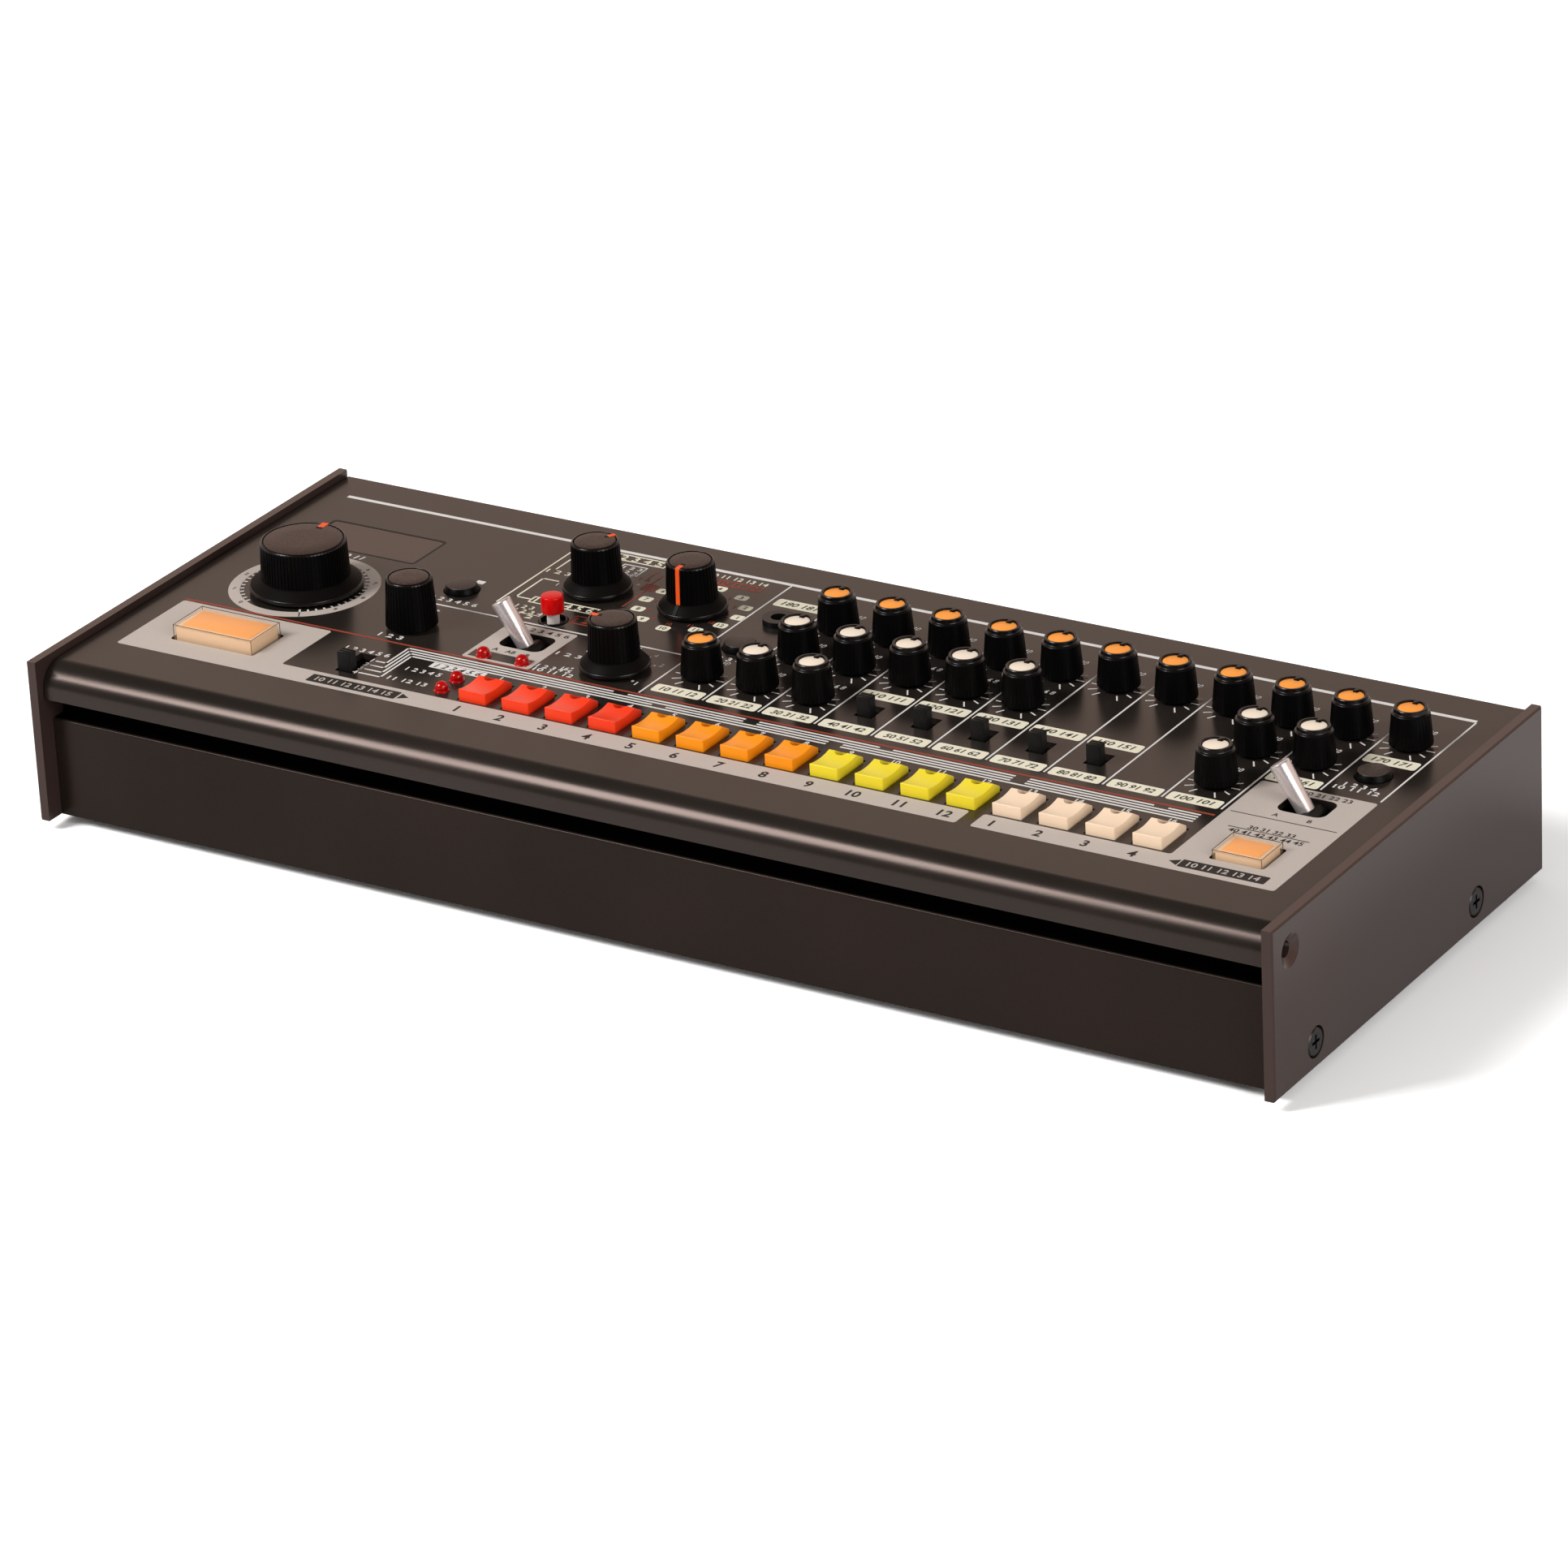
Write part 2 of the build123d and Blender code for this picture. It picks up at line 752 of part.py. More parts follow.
def panel_cuts():
    """Every hole and slot in the top panel, as solids to take away."""
    through = (-panel_sheet - cut_overrun, cut_overrun)
    cuts = []
    for x, back in rotary.values():
        hole = rod(shaft_radius + shaft_hole_clearance, *through)
        cuts.append(at_panel(x, back) * hole)
    for x, back in round_buttons.values():
        hole = rod(round_button_radius + button_clearance, *through)
        cuts.append(at_panel(x, back) * hole)
    for x, back, width, depth, _ in lit_buttons.values():
        gap = 2 * lit_button_clearance
        hole = square(width + gap, depth + gap, through)
        hole = fillet(hole.edges().filter_by(Axis.Z), lit_hole_corner)
        cuts.append(at_panel(x, back) * hole)
    for x in key_x:
        gap = 2 * key_clearance
        hole = square(key_width + gap, key_length + gap, through)
        cuts.append(at_panel(x, key_middle_back) * hole)
    for x, back in toggles.values():
        hole = square(toggle_slot_width, toggle_slot_depth, through)
        hole = fillet(hole.edges().filter_by(Axis.Z), toggle_slot_corner)
        cuts.append(at_panel(x + toggle_slot_shift, back) * hole)
    for x, back, travel in sliders.values():
        hole = slider_slot(travel, slider_slot_width, through, slider_end_clearance)
        cuts.append(at_panel(x, back) * hole)
    for x, back in tall_lamps:
        hole = rod(lamp_radius + button_clearance, *through)
        cuts.append(at_panel(x, back) * hole)
    cuts.append(at_panel(clear_x, clear_back) * rod(clear_hole_radius, *through))
    jack_hole = rod(small_jack_bore + socket_wall, *through)
    cuts.append(at_panel(trigger_jack_x, trigger_jack_back) * jack_hole)
    window = square(window_width, window_depth, through)
    window = fillet(window.edges().filter_by(Axis.Z), window_corner)
    cuts.append(at_panel(window_x, window_back) * window)
    return cuts


def top_panel():
    """Folded sheet with a rolled nose, and a standoff under it for each case screw."""
    nose = front + nose_setback
    lip = panel_top - nose_radius - lip_drop
    inside = nose + panel_sheet
    x_start = -half_panel
    corners = [
        (rear, panel_top), (nose, panel_top), (nose, lip),
        (inside, lip), (inside, panel_under), (rear, panel_under),
    ]
    points = [(x_start, y, z) for y, z in corners]
    sheet = Face(Wire.make_polygon(points, close=True))
    outer = sheet.vertices().sort_by_distance(points[1])[0]
    sheet = sheet.fillet_2d(nose_radius, [outer])
    inner = sheet.vertices().sort_by_distance(points[4])[0]
    sheet = sheet.fillet_2d(nose_radius - panel_sheet, [inner])
    panel = extrude(sheet, 2 * half_panel, dir=(1, 0, 0))
    panel = panel - panel_cuts()
    pilot = rod(
        screw_radius + screw_clearance, board_top - cut_overrun,
        panel_under - post_pilot_roof)
    standoff = rod(post_radius, board_top, panel_under) - pilot
    standoffs = [Pos(x, y_at(back), 0) * standoff for x, back in posts]
    return [panel] + standoffs


def screw_axis(back, lift):
    """Location on the right-hand side face, for pieces built along +Z."""
    return Pos(right_side, y_at(back), case_bottom + lift) * Rot(0, 90, 0)


def right_cheek():
    """Flat side plate, with screw wells and a countersunk fixing eye."""
    x_span = (half_inside, right_side)
    cheek = block(x_span, (front, rear), (case_bottom, case_top))
    outer_edges = cheek.faces().sort_by(Axis.X)[-1].edges()
    cheek = chamfer(outer_edges, cheek_bevel)
    for back, lift in cheek_screws:
        well = rod(cheek_screw_well_radius, -screw_head_height, cut_overrun)
        hole = rod(
            screw_radius + screw_clearance, -cheek_thickness - cut_overrun, cut_overrun)
        cheek = cheek - screw_axis(back, lift) * (well + hole)
    inner = -cheek_thickness - cut_overrun
    eye = turned([
        (0, inner), (cheek_eye_radius, inner),
        (cheek_eye_radius, -cheek_eye_depth), (cheek_eye_mouth, 0),
        (cheek_eye_mouth, cut_overrun), (0, cut_overrun),
    ])
    return [cheek - screw_axis(cheek_eye_back, cheek_eye_lift) * eye]


def left_cheek():
    """Mirror of the right cheek."""
    return [mirrored(right_cheek()[0])]


def screw(shank):
    """Cross-head screw along +Z, with the top of its head at z = 0."""
    body = rod(screw_head_radius - screw_head_clearance, -screw_head_height, 0)
    body = chamfer(body.edges().group_by(Axis.Z)[-1], screw_head_bevel)
    body = body + rod(screw_radius, -screw_head_height - shank, -screw_head_height)
    arm = screw_head_radius
    for turn in (0, 90):
        slot = Rot(0, 0, turn) * square(arm, cross_recess, (-cross_recess, cut_overrun))
        body = body - slot
    return body


def side_wall_bosses():
    """Bosses inside the right wall, which take the cheek screws."""
    wall_inside = -cheek_thickness - shell_wall
    bosses = []
    for back, lift in cheek_screws:
        boss = rod(cheek_screw_well_radius, wall_inside - screw_grip, wall_inside)
        bosses.append(screw_axis(back, lift) * boss)
    return bosses


def bottom_case():
    """Moulded tray: floor, side walls, stepped front, posts and the battery bay."""
    sides = (-half_inside, half_inside)
    fascia_top = case_bottom + fascia_height
    case = swept_across([
        (fascia_face, case_bottom), (rear_inside, case_bottom), (rear_inside, floor_top),
        (fascia_face + shell_wall, floor_top),
        (fascia_face + shell_wall, fascia_top - shell_wall),
        (groove_face + shell_wall, fascia_top - shell_wall),
        (groove_face + shell_wall, panel_under), (groove_face, panel_under),
        (groove_face, fascia_top), (fascia_face, fascia_top),
    ], sides)
    edge = case.edges().filter_by(Axis.X).sort_by_distance((0, fascia_face, fascia_top))
    case = fillet(edge[0], fascia_bevel)
    wall = block(
        (half_inside - shell_wall, half_inside),
        (groove_face, rear_inside), (case_bottom, panel_under))
    bosses = side_wall_bosses()
    case = case + wall + mirrored(wall)
    for boss in bosses:
        case = case + boss + mirrored(boss)
    eye = screw_axis(cheek_eye_back, cheek_eye_lift)
    eye_depth = cheek_thickness + shell_wall + cut_overrun
    eye_hole = eye * rod(cheek_eye_mouth, -eye_depth, 0)
    case = case - eye_hole - mirrored(eye_hole)
    head = rod(
        screw_head_radius, case_bottom - cut_overrun, case_bottom + screw_head_height)
    shank = rod(screw_radius + screw_clearance, case_bottom, board_under + cut_overrun)
    for x, back in posts:
        spot = Pos(x, y_at(back), 0)
        case = case + spot * rod(case_post_radius, case_bottom, board_under)
        case = case - spot * (head + shank)
    pilot = rod(screw_radius + screw_clearance, -cheek_screw_end - screw_clearance, 0)
    for back, lift in cheek_screws:
        hole = screw_axis(back, lift) * pilot
        case = case - hole - mirrored(hole)
    for x in (usb_x, midi_in_x, volume_x):
        y = rear_inside - jack_board_depth + post_radius
        case = case + Pos(x, y, 0) * rod(post_radius, floor_top, jack_board_under)
    return [cut_battery_bay(case)]


def cut_battery_bay(case):
    """Add the battery bay to the floor and open it for the door."""
    gap = 2 * door_clearance
    ledge = 2 * battery_ledge
    outer_x = battery_door_width + gap + 2 * shell_wall
    outer_y = battery_door_depth + gap + 2 * shell_wall
    bay_roof = floor_top + battery_bay_height
    bay = square(outer_x, outer_y, (case_bottom, bay_roof))
    hollow = square(
        battery_door_width - ledge, battery_door_depth - ledge,
        (case_bottom - cut_overrun, bay_roof - shell_wall))
    recess = square(
        battery_door_width + gap, battery_door_depth + gap,
        (case_bottom - cut_overrun, floor_top))
    spot = Pos(battery_bay_x, (front + rear) / 2, 0)
    return case + spot * bay - spot * hollow - spot * recess


def battery_door():
    """Flush cover of the battery bay, with finger grooves cut in it."""
    door = square(battery_door_width, battery_door_depth, (case_bottom, floor_top))
    groove = square(
        grip_groove_length, grip_groove_width,
        (case_bottom - cut_overrun, case_bottom + grip_groove_depth))
    for i in range(grip_groove_count):
        y = battery_door_depth / 2 - grip_groove_inset - grip_groove_pitch * i
        door = door - Pos(0, y, 0) * groove
    return [Pos(battery_bay_x, (front + rear) / 2, 0) * door]


def rear_cuts():
    """Holes in the rear panel."""
    through = (-rear_sheet - cut_overrun, cut_overrun)
    cuts = []
    rounds = [
        (volume_x, shaft_radius + shaft_hole_clearance),
        (phones_x, small_jack_bore + socket_wall),
        (mix_in_x, small_jack_bore + socket_wall),
        (mix_out_x, large_jack_bore + socket_wall),
        (midi_out_x, din_barrel_radius + socket_clearance),
        (midi_in_x, din_barrel_radius + socket_clearance),
    ]
    for x, radius in rounds:
        cuts.append(Pos(x, rear, jack_axis) * backwards(rod(radius, *through)))
    shell = 2 * (usb_shell + socket_clearance)
    usb = square(usb_width + shell, usb_height + shell, through)
    cuts.append(Pos(usb_x, rear, jack_axis) * backwards(usb))
    slot = square(power_slot_width, slider_slot_width, through)
    cuts.append(Pos(power_x, rear, jack_axis) * backwards(slot))
    return cuts


def rear_panel():
    """Flat plate that closes the rear and carries the sockets."""
    plate = block(
        (-half_inside, half_inside), (rear_inside, rear), (case_bottom, panel_under))
    return [plate - rear_cuts()]


# ------------------------------------------------------------------- window, lamps, boards

def display_window():
    """Smoked window, flush with the panel and held by a flange underneath."""
    gap = 2 * window_clearance
    lens = square(window_width - gap, window_depth - gap, (-panel_sheet, 0))
    lens = fillet(lens.edges().filter_by(Axis.Z), window_corner - window_clearance)
    edge = 2 * window_flange
    rim = square(
        window_width + edge, window_depth + edge,
        (-panel_sheet - window_flange_sheet, -panel_sheet))
    return [at_panel(window_x, window_back) * (lens + rim)]


def control_board():
    """Main board under the panel, with room for the posts' screws and the top jack."""
    y_front = groove_face + shell_wall + board_margin
    x_half = half_inside - shell_wall - board_margin
    through = (board_under - cut_overrun, board_top + cut_overrun)
    board = block(
        (-x_half, x_half), (y_front, rear_inside - board_margin),
        (board_under, board_top))
    for x, back in posts:
        hole = rod(screw_radius + 2 * screw_clearance, *through)
        board = board - Pos(x, y_at(back), 0) * hole
    jack_hole = rod(small_jack_bore + socket_wall, *through)
    return board - Pos(trigger_jack_x, y_at(trigger_jack_back), 0) * jack_hole


def circuit_boards():
    """Control board, jack board and display module."""
    jack_board_x = volume_x + jack_board_overhang
    jack_board = block(
        (jack_board_x - jack_board_width, jack_board_x),
        (rear_inside - jack_board_depth, rear_inside - jack_board_gap),
        (jack_board_under, jack_board_top))
    module = square(
        window_width - 2 * module_margin, window_depth - 2 * module_margin,
        (-stack, -panel_sheet - window_flange_sheet - module_clearance))
    return [control_board(), jack_board, at_panel(window_x, window_back) * module]


def pot_body(grip_end):
    """Potentiometer body with a bore for its shaft; z = 0 is the panel's surface."""
    body = square(pot_width, pot_depth, (-stack, -panel_sheet - travel_clearance))
    bore = rod(shaft_radius + running_clearance, grip_end - travel_clearance, 0)
    return body - bore


def push_switch(travel, radius):
    """Push switch body with a bore for a button's stem."""
    roof = switch_roof(travel)
    low = stem_end(travel) - travel - travel_clearance
    body = square(switch_side, switch_side, (-stack, roof))
    return body - rod(radius + running_clearance, low, roof + cut_overrun)


def clear_switch():
    """Body and collar round the clear button's stem."""
    roof = -panel_sheet - retaining_gap
    lower = roof - stem_grip - 2 * clear_travel - travel_clearance
    body = square(switch_side, switch_side, (-stack, roof))
    body = body + rod(clear_collar_radius, roof, -clear_collar_drop)
    bore_end = max(lower, -stack + clear_switch_floor)
    bore = rod(clear_stem_radius + running_clearance, bore_end, cut_overrun)
    return body - bore


def volume_pot():
    """Potentiometer behind the rear panel."""
    side = 2 * (jack_axis - jack_board_top)
    face = -rear_sheet - travel_clearance
    grip_end = face - travel_clearance - shaft_grip
    body = square(side, side, (grip_end - volume_pot_floor, face))
    bore = rod(shaft_radius + running_clearance, grip_end, 0)
    return Pos(volume_x, rear, jack_axis) * backwards(body - bore)


def power_body():
    """Slide switch body behind the rear panel, standing on the jack board."""
    side = 2 * (jack_axis - jack_board_top)
    length = power_slot_width + 2 * slider_body_wall
    inner = -rear_sheet - retaining_gap
    body = square(length, side, (inner - power_body_depth, inner))
    guide = square(
        power_slot_width, slider_width + 2 * slide_clearance,
        (-slider_depth - travel_clearance, 0))
    return Pos(power_x, rear, jack_axis) * backwards(body - guide)


def control_bodies():
    """Fixed halves of every potentiometer, encoder and switch."""
    bodies = [at_panel(x, back) * pot_body(shaft_end) for x, back in rotary.values()]
    for x in key_x:
        bodies.append(at_panel(x, key_stem_back) * push_switch(key_travel, stem_radius))
    for x, back in round_buttons.values():
        bodies.append(at_panel(x, back) * push_switch(round_button_travel, stem_radius))
    for x, back, _, _, _ in lit_buttons.values():
        bodies.append(at_panel(x, back) * push_switch(lit_button_travel, stem_radius))
    bodies.append(at_panel(clear_x, clear_back) * clear_switch())
    for x, back in toggles.values():
        bodies.append(at_panel(x, back) * toggle_body())
    for x, back, travel in sliders.values():
        bodies.append(at_panel(x, back) * slider_body(travel))
    return bodies + [volume_pot(), power_body()]


def lamp(radius, height):
    """Domed lamp that stands on the control board; z = 0 is the panel's surface."""
    body = rod(radius, -stack, height)
    return fillet(body.edges().group_by(Axis.Z)[-1], radius * lamp_dome)


def indicator_lamps():
    """Four red lamps in the panel and one lamp in the notch of each step key."""
    lamps = [at_panel(x, back) * lamp(lamp_radius, lamp_height) for x, back in tall_lamps]
    key_lamp_top = key_height - key_dish - key_lamp_drop
    for x, back in key_lamps:
        lamps.append(at_panel(x, back) * lamp(key_lamp_radius, key_lamp_top))
    return lamps


# -------------------------------------------------------------------------------- sockets

def jack_socket(bore, nut, depth):
    """Round jack: body behind the rear panel, barrel through it and nut outside."""
    half = jack_axis - jack_board_top
    inner = -rear_sheet
    body = square(2 * half, 2 * half, (inner - depth, inner))
    barrel = rod(bore + socket_wall - socket_clearance, inner, nut_sheet)
    ring = rod(nut, 0, nut_sheet)
    plug_bore = rod(bore, nut_sheet - depth, nut_sheet + cut_overrun)
    return backwards(body + barrel + ring - plug_bore)


def din_socket():
    """Round socket: an insert with five contact holes, in a groove for the plug's shell."""
    half = jack_axis - jack_board_top
    inner = -rear_sheet
    body = square(din_side, 2 * half, (inner - din_body_depth, inner))
    body = body + rod(din_barrel_radius, inner, 0)
    groove = rod(din_groove_radius, -din_groove_depth, cut_overrun)
    body = body - (groove - rod(din_insert_radius, -din_groove_depth, cut_overrun))
    contact = Pos(din_contact_circle, 0, 0) * rod(
        din_contact_radius, -din_contact_depth, cut_overrun)
    for turn in din_contact_turns:
        body = body - Rot(0, 0, turn) * contact
    return backwards(body)


def usb_socket():
    """Flat metal socket, open to the rear, on a foot that stands on the jack board."""
    shell_x = usb_width + 2 * usb_shell
    shell_y = usb_height + 2 * usb_shell
    shell = square(shell_x, shell_y, (-usb_depth - usb_floor, 0))
    shell = shell - square(usb_width, usb_height, (-usb_depth, cut_overrun))
    shell = Pos(usb_x, rear, jack_axis) * backwards(shell)
    foot = block(
        (usb_x - shell_x / 2, usb_x + shell_x / 2),
        (rear - usb_depth - usb_floor, rear_inside - jack_board_gap),
        (jack_board_top, jack_axis - shell_y / 2))
    return shell + foot


def trigger_jack():
    """Small jack in the top panel: its ring, its barrel and the body below."""
    wall = small_jack_bore + socket_wall - socket_clearance
    ring = rod(small_jack_nut, 0, nut_sheet)
    barrel = rod(wall, -jack_bore_depth, 0)
    body = square(trigger_body_side, trigger_body_side, (-stack, -panel_sheet))
    bore = rod(small_jack_bore, nut_sheet - jack_bore_depth, nut_sheet + cut_overrun)
    return at_panel(trigger_jack_x, trigger_jack_back) * (ring + barrel + body - bore)


def jack_sockets():
    """Rear sockets and the trigger jack of the top panel."""
    small = jack_socket(small_jack_bore, small_jack_nut, jack_bore_depth)
    large = jack_socket(large_jack_bore, large_jack_nut, large_jack_depth)
    din = din_socket()
    sockets = [
        Pos(phones_x, rear, jack_axis) * small,
        Pos(mix_in_x, rear, jack_axis) * small,
        Pos(mix_out_x, rear, jack_axis) * large,
        Pos(midi_out_x, rear, jack_axis) * din,
        Pos(midi_in_x, rear, jack_axis) * din,
        usb_socket(),
        trigger_jack(),
    ]
    return sockets


# ----------------------------------------------------------------------- feet and fasteners

def rubber_feet():
    """Four round feet under the corners."""
    feet = []
    for x in (foot_inset - case_width / 2, case_width / 2 - foot_inset):
        for y in (front + fascia_setback + foot_inset, rear - foot_inset):
            foot = rod(foot_radius, 0, foot_height)
            foot = chamfer(foot.edges().group_by(Axis.Z)[0], foot_bevel)
            feet.append(Pos(x, y, 0) * foot)
    return feet


def case_screws():
    """Four cheek screws and six long screws from below."""
    screws = []
    short_shank = cheek_screw_end - screw_head_height
    for back, lift in cheek_screws:
        side = screw_axis(back, lift) * screw(short_shank)
        screws += [side, mirrored(side)]
    long_shank = board_top + screw_grip - case_bottom - screw_head_height
    for x, back in posts:
        screws.append(Pos(x, y_at(back), case_bottom) * Rot(180, 0, 0) * screw(long_shank))
    return screws


# ------------------------------------------------------------------------------- all nodes

def rear_slider():
    """Power switch lever, at the left end of its travel as seen from the front."""
    start = -power_slot_width / 2 + slider_end_clearance
    span = (start, start + slider_length)
    half = slider_width / 2
    lever = block(span, (-half, half), (-slider_depth, power_lever_reach))
    return [Pos(power_x, rear, jack_axis) * backwards(lever)]


def build():
    """Every node's solids by name."""
    nodes = {
        "top_panel": top_panel(),
        "left_cheek": left_cheek(),
        "right_cheek": right_cheek(),
        "bottom_case": bottom_case(),
        "rear_panel": rear_panel(),
        "battery_door": battery_door(),
        "display_window": display_window(),
        "circuit_boards": circuit_boards(),
        "control_bodies": control_bodies(),
        "jack_sockets": jack_sockets(),
        "indicator_lamps": indicator_lamps(),
        "rubber_feet": rubber_feet(),
        "case_screws": case_screws(),
        "volume_knob": volume_knob(),
        "power_switch": rear_slider(),
    }
    shapes = {name: small_knob() for name in small_knobs}
    shapes["tempo_knob"] = skirted_knob(
        tempo_skirt_radius, tempo_body_radius, tempo_top_radius, tempo_height, 0)
    shapes["value_knob"] = plain_knob(value_base_radius, value_top_radius, value_height)
    turns = {
        "mode_knob": mode_turn,
        "instrument_knob": instrument_turn,
        "fill_knob": fill_turn,
    }
    for name, turn in turns.items():
        shapes[name] = skirted_knob(
            selector_skirt_radius, selector_body_radius, selector_top_radius,
            selector_height, turn)
    for name, (x, back) in rotary.items():
        nodes[name] = [at_panel(x, back) * piece for piece in shapes[name]]
    for i, name in enumerate(key_banks):
        bank = key_x[i * keys_per_bank:(i + 1) * keys_per_bank]
        nodes[name] = [at_panel(x, key_middle_back) * step_key() for x in bank]
    for name, (x, back) in round_buttons.items():
        nodes[name] = [at_panel(x, back) * round_button()]
    for name, (x, back, *size) in lit_buttons.items():
        nodes[name] = [at_panel(x, back) * piece for piece in lit_button(*size)]
    nodes["clear_button"] = [
        at_panel(clear_x, clear_back) * piece for piece in clear_button()]
    for name, (x, back) in toggles.items():
        nodes[name] = [at_panel(x, back) * piece for piece in toggle()]
    for name, (x, back, travel) in sliders.items():
        nodes[name] = [at_panel(x, back) * slider_lever(travel)]
    return nodes


os.makedirs("parts", exist_ok=True)
for node, pieces in build().items():
    solids = [solid for piece in pieces for solid in piece.solids()]
    export_step(Compound(solids), "parts/" + node + ".step")
    print(node, len(solids), "solids")
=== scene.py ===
# %% [markdown]
# # A small drum machine, dressed piece by piece
# The solids of the machine are already made and stay where they are. This lesson loads
# them as a fixed frame and gives every surface that can be seen its shape and finish:
# painted sheet metal, moulded plastic, ribbed knobs, soft keys and screen printing.
# Shapes are worked out in millimetres and turned into metres when a piece is finished.

# %% Load the frame and measure it
import json
from math import atan2, cos, floor, radians, sin, tau

import bmesh
import bpy
from mathutils import Matrix, Vector

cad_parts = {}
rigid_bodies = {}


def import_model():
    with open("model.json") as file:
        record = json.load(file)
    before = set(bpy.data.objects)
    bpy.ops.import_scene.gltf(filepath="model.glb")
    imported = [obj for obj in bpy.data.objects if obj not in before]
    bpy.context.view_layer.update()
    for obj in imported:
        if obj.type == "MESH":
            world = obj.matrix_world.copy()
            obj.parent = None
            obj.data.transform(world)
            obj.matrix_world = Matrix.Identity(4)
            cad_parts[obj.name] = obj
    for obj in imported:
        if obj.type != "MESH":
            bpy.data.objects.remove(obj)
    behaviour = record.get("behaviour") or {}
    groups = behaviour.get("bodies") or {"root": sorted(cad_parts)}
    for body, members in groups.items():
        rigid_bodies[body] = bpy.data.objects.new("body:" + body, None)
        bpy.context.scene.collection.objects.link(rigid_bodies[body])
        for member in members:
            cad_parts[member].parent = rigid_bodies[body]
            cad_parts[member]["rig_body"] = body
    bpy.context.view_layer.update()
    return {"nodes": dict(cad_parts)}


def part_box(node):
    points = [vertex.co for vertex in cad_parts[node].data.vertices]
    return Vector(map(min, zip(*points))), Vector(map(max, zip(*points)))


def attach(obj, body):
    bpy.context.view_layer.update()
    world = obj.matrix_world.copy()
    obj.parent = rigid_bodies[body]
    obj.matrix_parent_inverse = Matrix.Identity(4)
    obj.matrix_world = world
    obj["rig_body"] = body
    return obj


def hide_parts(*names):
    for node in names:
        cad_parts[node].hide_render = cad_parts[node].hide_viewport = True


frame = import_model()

MM = 0.001
scene = bpy.context.scene


def box_mm(node):
    """Lowest and highest corner of a node, in millimetres."""
    low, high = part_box(node)
    return low / MM, high / MM


def middle_of(node):
    """Middle of a node's box, in millimetres."""
    low, high = box_mm(node)
    return (low + high) / 2


panel_top = box_mm("top_panel")[1].z
front_y = box_mm("left_cheek")[0].y
rear_y = box_mm("rear_panel")[1].y
print("panel at", round(panel_top, 2), "mm, front edge at", round(front_y, 2), "mm")

# %% [markdown]
# ## Camera
# A product camera is easiest to describe by where it stands, how far it is turned, how
# far it looks down and how far it is rolled. Three rotations multiplied in that order
# say the same thing as one, and can be read again later.

# %% Set up the camera
def linked(name, data):
    """A new object in the scene."""
    obj = bpy.data.objects.new(name, data)
    scene.collection.objects.link(obj)
    return obj


def shift(x, y, z):
    """Matrix that moves."""
    return Matrix.Translation((x, y, z))


def turn(degrees, axis):
    """Matrix that turns about an axis."""
    return Matrix.Rotation(radians(degrees), 4, axis)


camera_place = Vector((0.8110, -1.2701, 0.7124))
camera_turn = 32.583
camera_down = 24.836
camera_roll = -2.901

camera_data = bpy.data.cameras.new("camera")
camera_data.lens = 176.08
camera_data.sensor_width = 36.0
camera_data.clip_start = 0.05
camera = linked("camera", camera_data)
camera.matrix_world = (shift(*camera_place) @ turn(camera_turn, "Z")
                       @ turn(90 - camera_down, "X") @ turn(camera_roll, "Z"))
scene.camera = camera
print("camera", round(camera_place.length, 3), "m from the machine")

# %% [markdown]
# ## Shader maths
# Node trees are hard to read as long lists of links. A small class wraps the output of
# a node, and its operators add Math nodes, so that a mask can be written as a sum. A
# second class holds one finish: every node comes from one method, settings first, and
# a number that is the same all over goes straight on the shader's own socket.

# %% Shader values and finishes
class Value:
    """A number that changes over a surface. Arithmetic on it adds Math nodes."""

    def __init__(self, graph, socket):
        self.graph = graph
        self.socket = socket

    def math(self, operation, first, second):
        inputs = {0: first, 1: second}
        node = self.graph.node("ShaderNodeMath", {"operation": operation}, inputs)
        return Value(self.graph, node.outputs[0])

    def __add__(self, other):
        return self.math("ADD", self, other)

    def __radd__(self, other):
        return self.math("ADD", other, self)

    def __sub__(self, other):
        return self.math("SUBTRACT", self, other)

    def __rsub__(self, other):
        return self.math("SUBTRACT", other, self)

    def __mul__(self, other):
        return self.math("MULTIPLY", self, other)

    def __rmul__(self, other):
        return self.math("MULTIPLY", other, self)


class Graph:
    """Nodes of a material or of the world."""

    def __init__(self, owner):
        owner.use_nodes = True
        self.tree = owner.node_tree

    def put(self, socket, value):
        """Link a value to a socket, or set the socket to a number."""
        if isinstance(value, Value):
            self.tree.links.new(value.socket, socket)
        elif isinstance(value, bpy.types.NodeSocket):
            self.tree.links.new(value, socket)
        else:
            socket.default_value = value

    def node(self, kind, settings, inputs):
        """Add a node: its type, its settings, then the values or links of its sockets."""
        node = self.tree.nodes.new(kind)
        for key, value in settings.items():
            if key == "stops":
                while len(node.color_ramp.elements) < len(value):
                    node.color_ramp.elements.new(1)
                for element, (position, level) in zip(node.color_ramp.elements, value):
                    element.position = position
                    element.color = (level, level, level, 1)
            else:
                setattr(node, key, value)
        for key, value in inputs.items():
            self.put(node.inputs[key], value)
        return node

    def ramp(self, value, *stops):
        """Turn a value into another one, through (position, level) stops."""
        node = self.node("ShaderNodeValToRGB", {"stops": stops}, {"Fac": value})
        return Value(self, node.outputs["Color"])


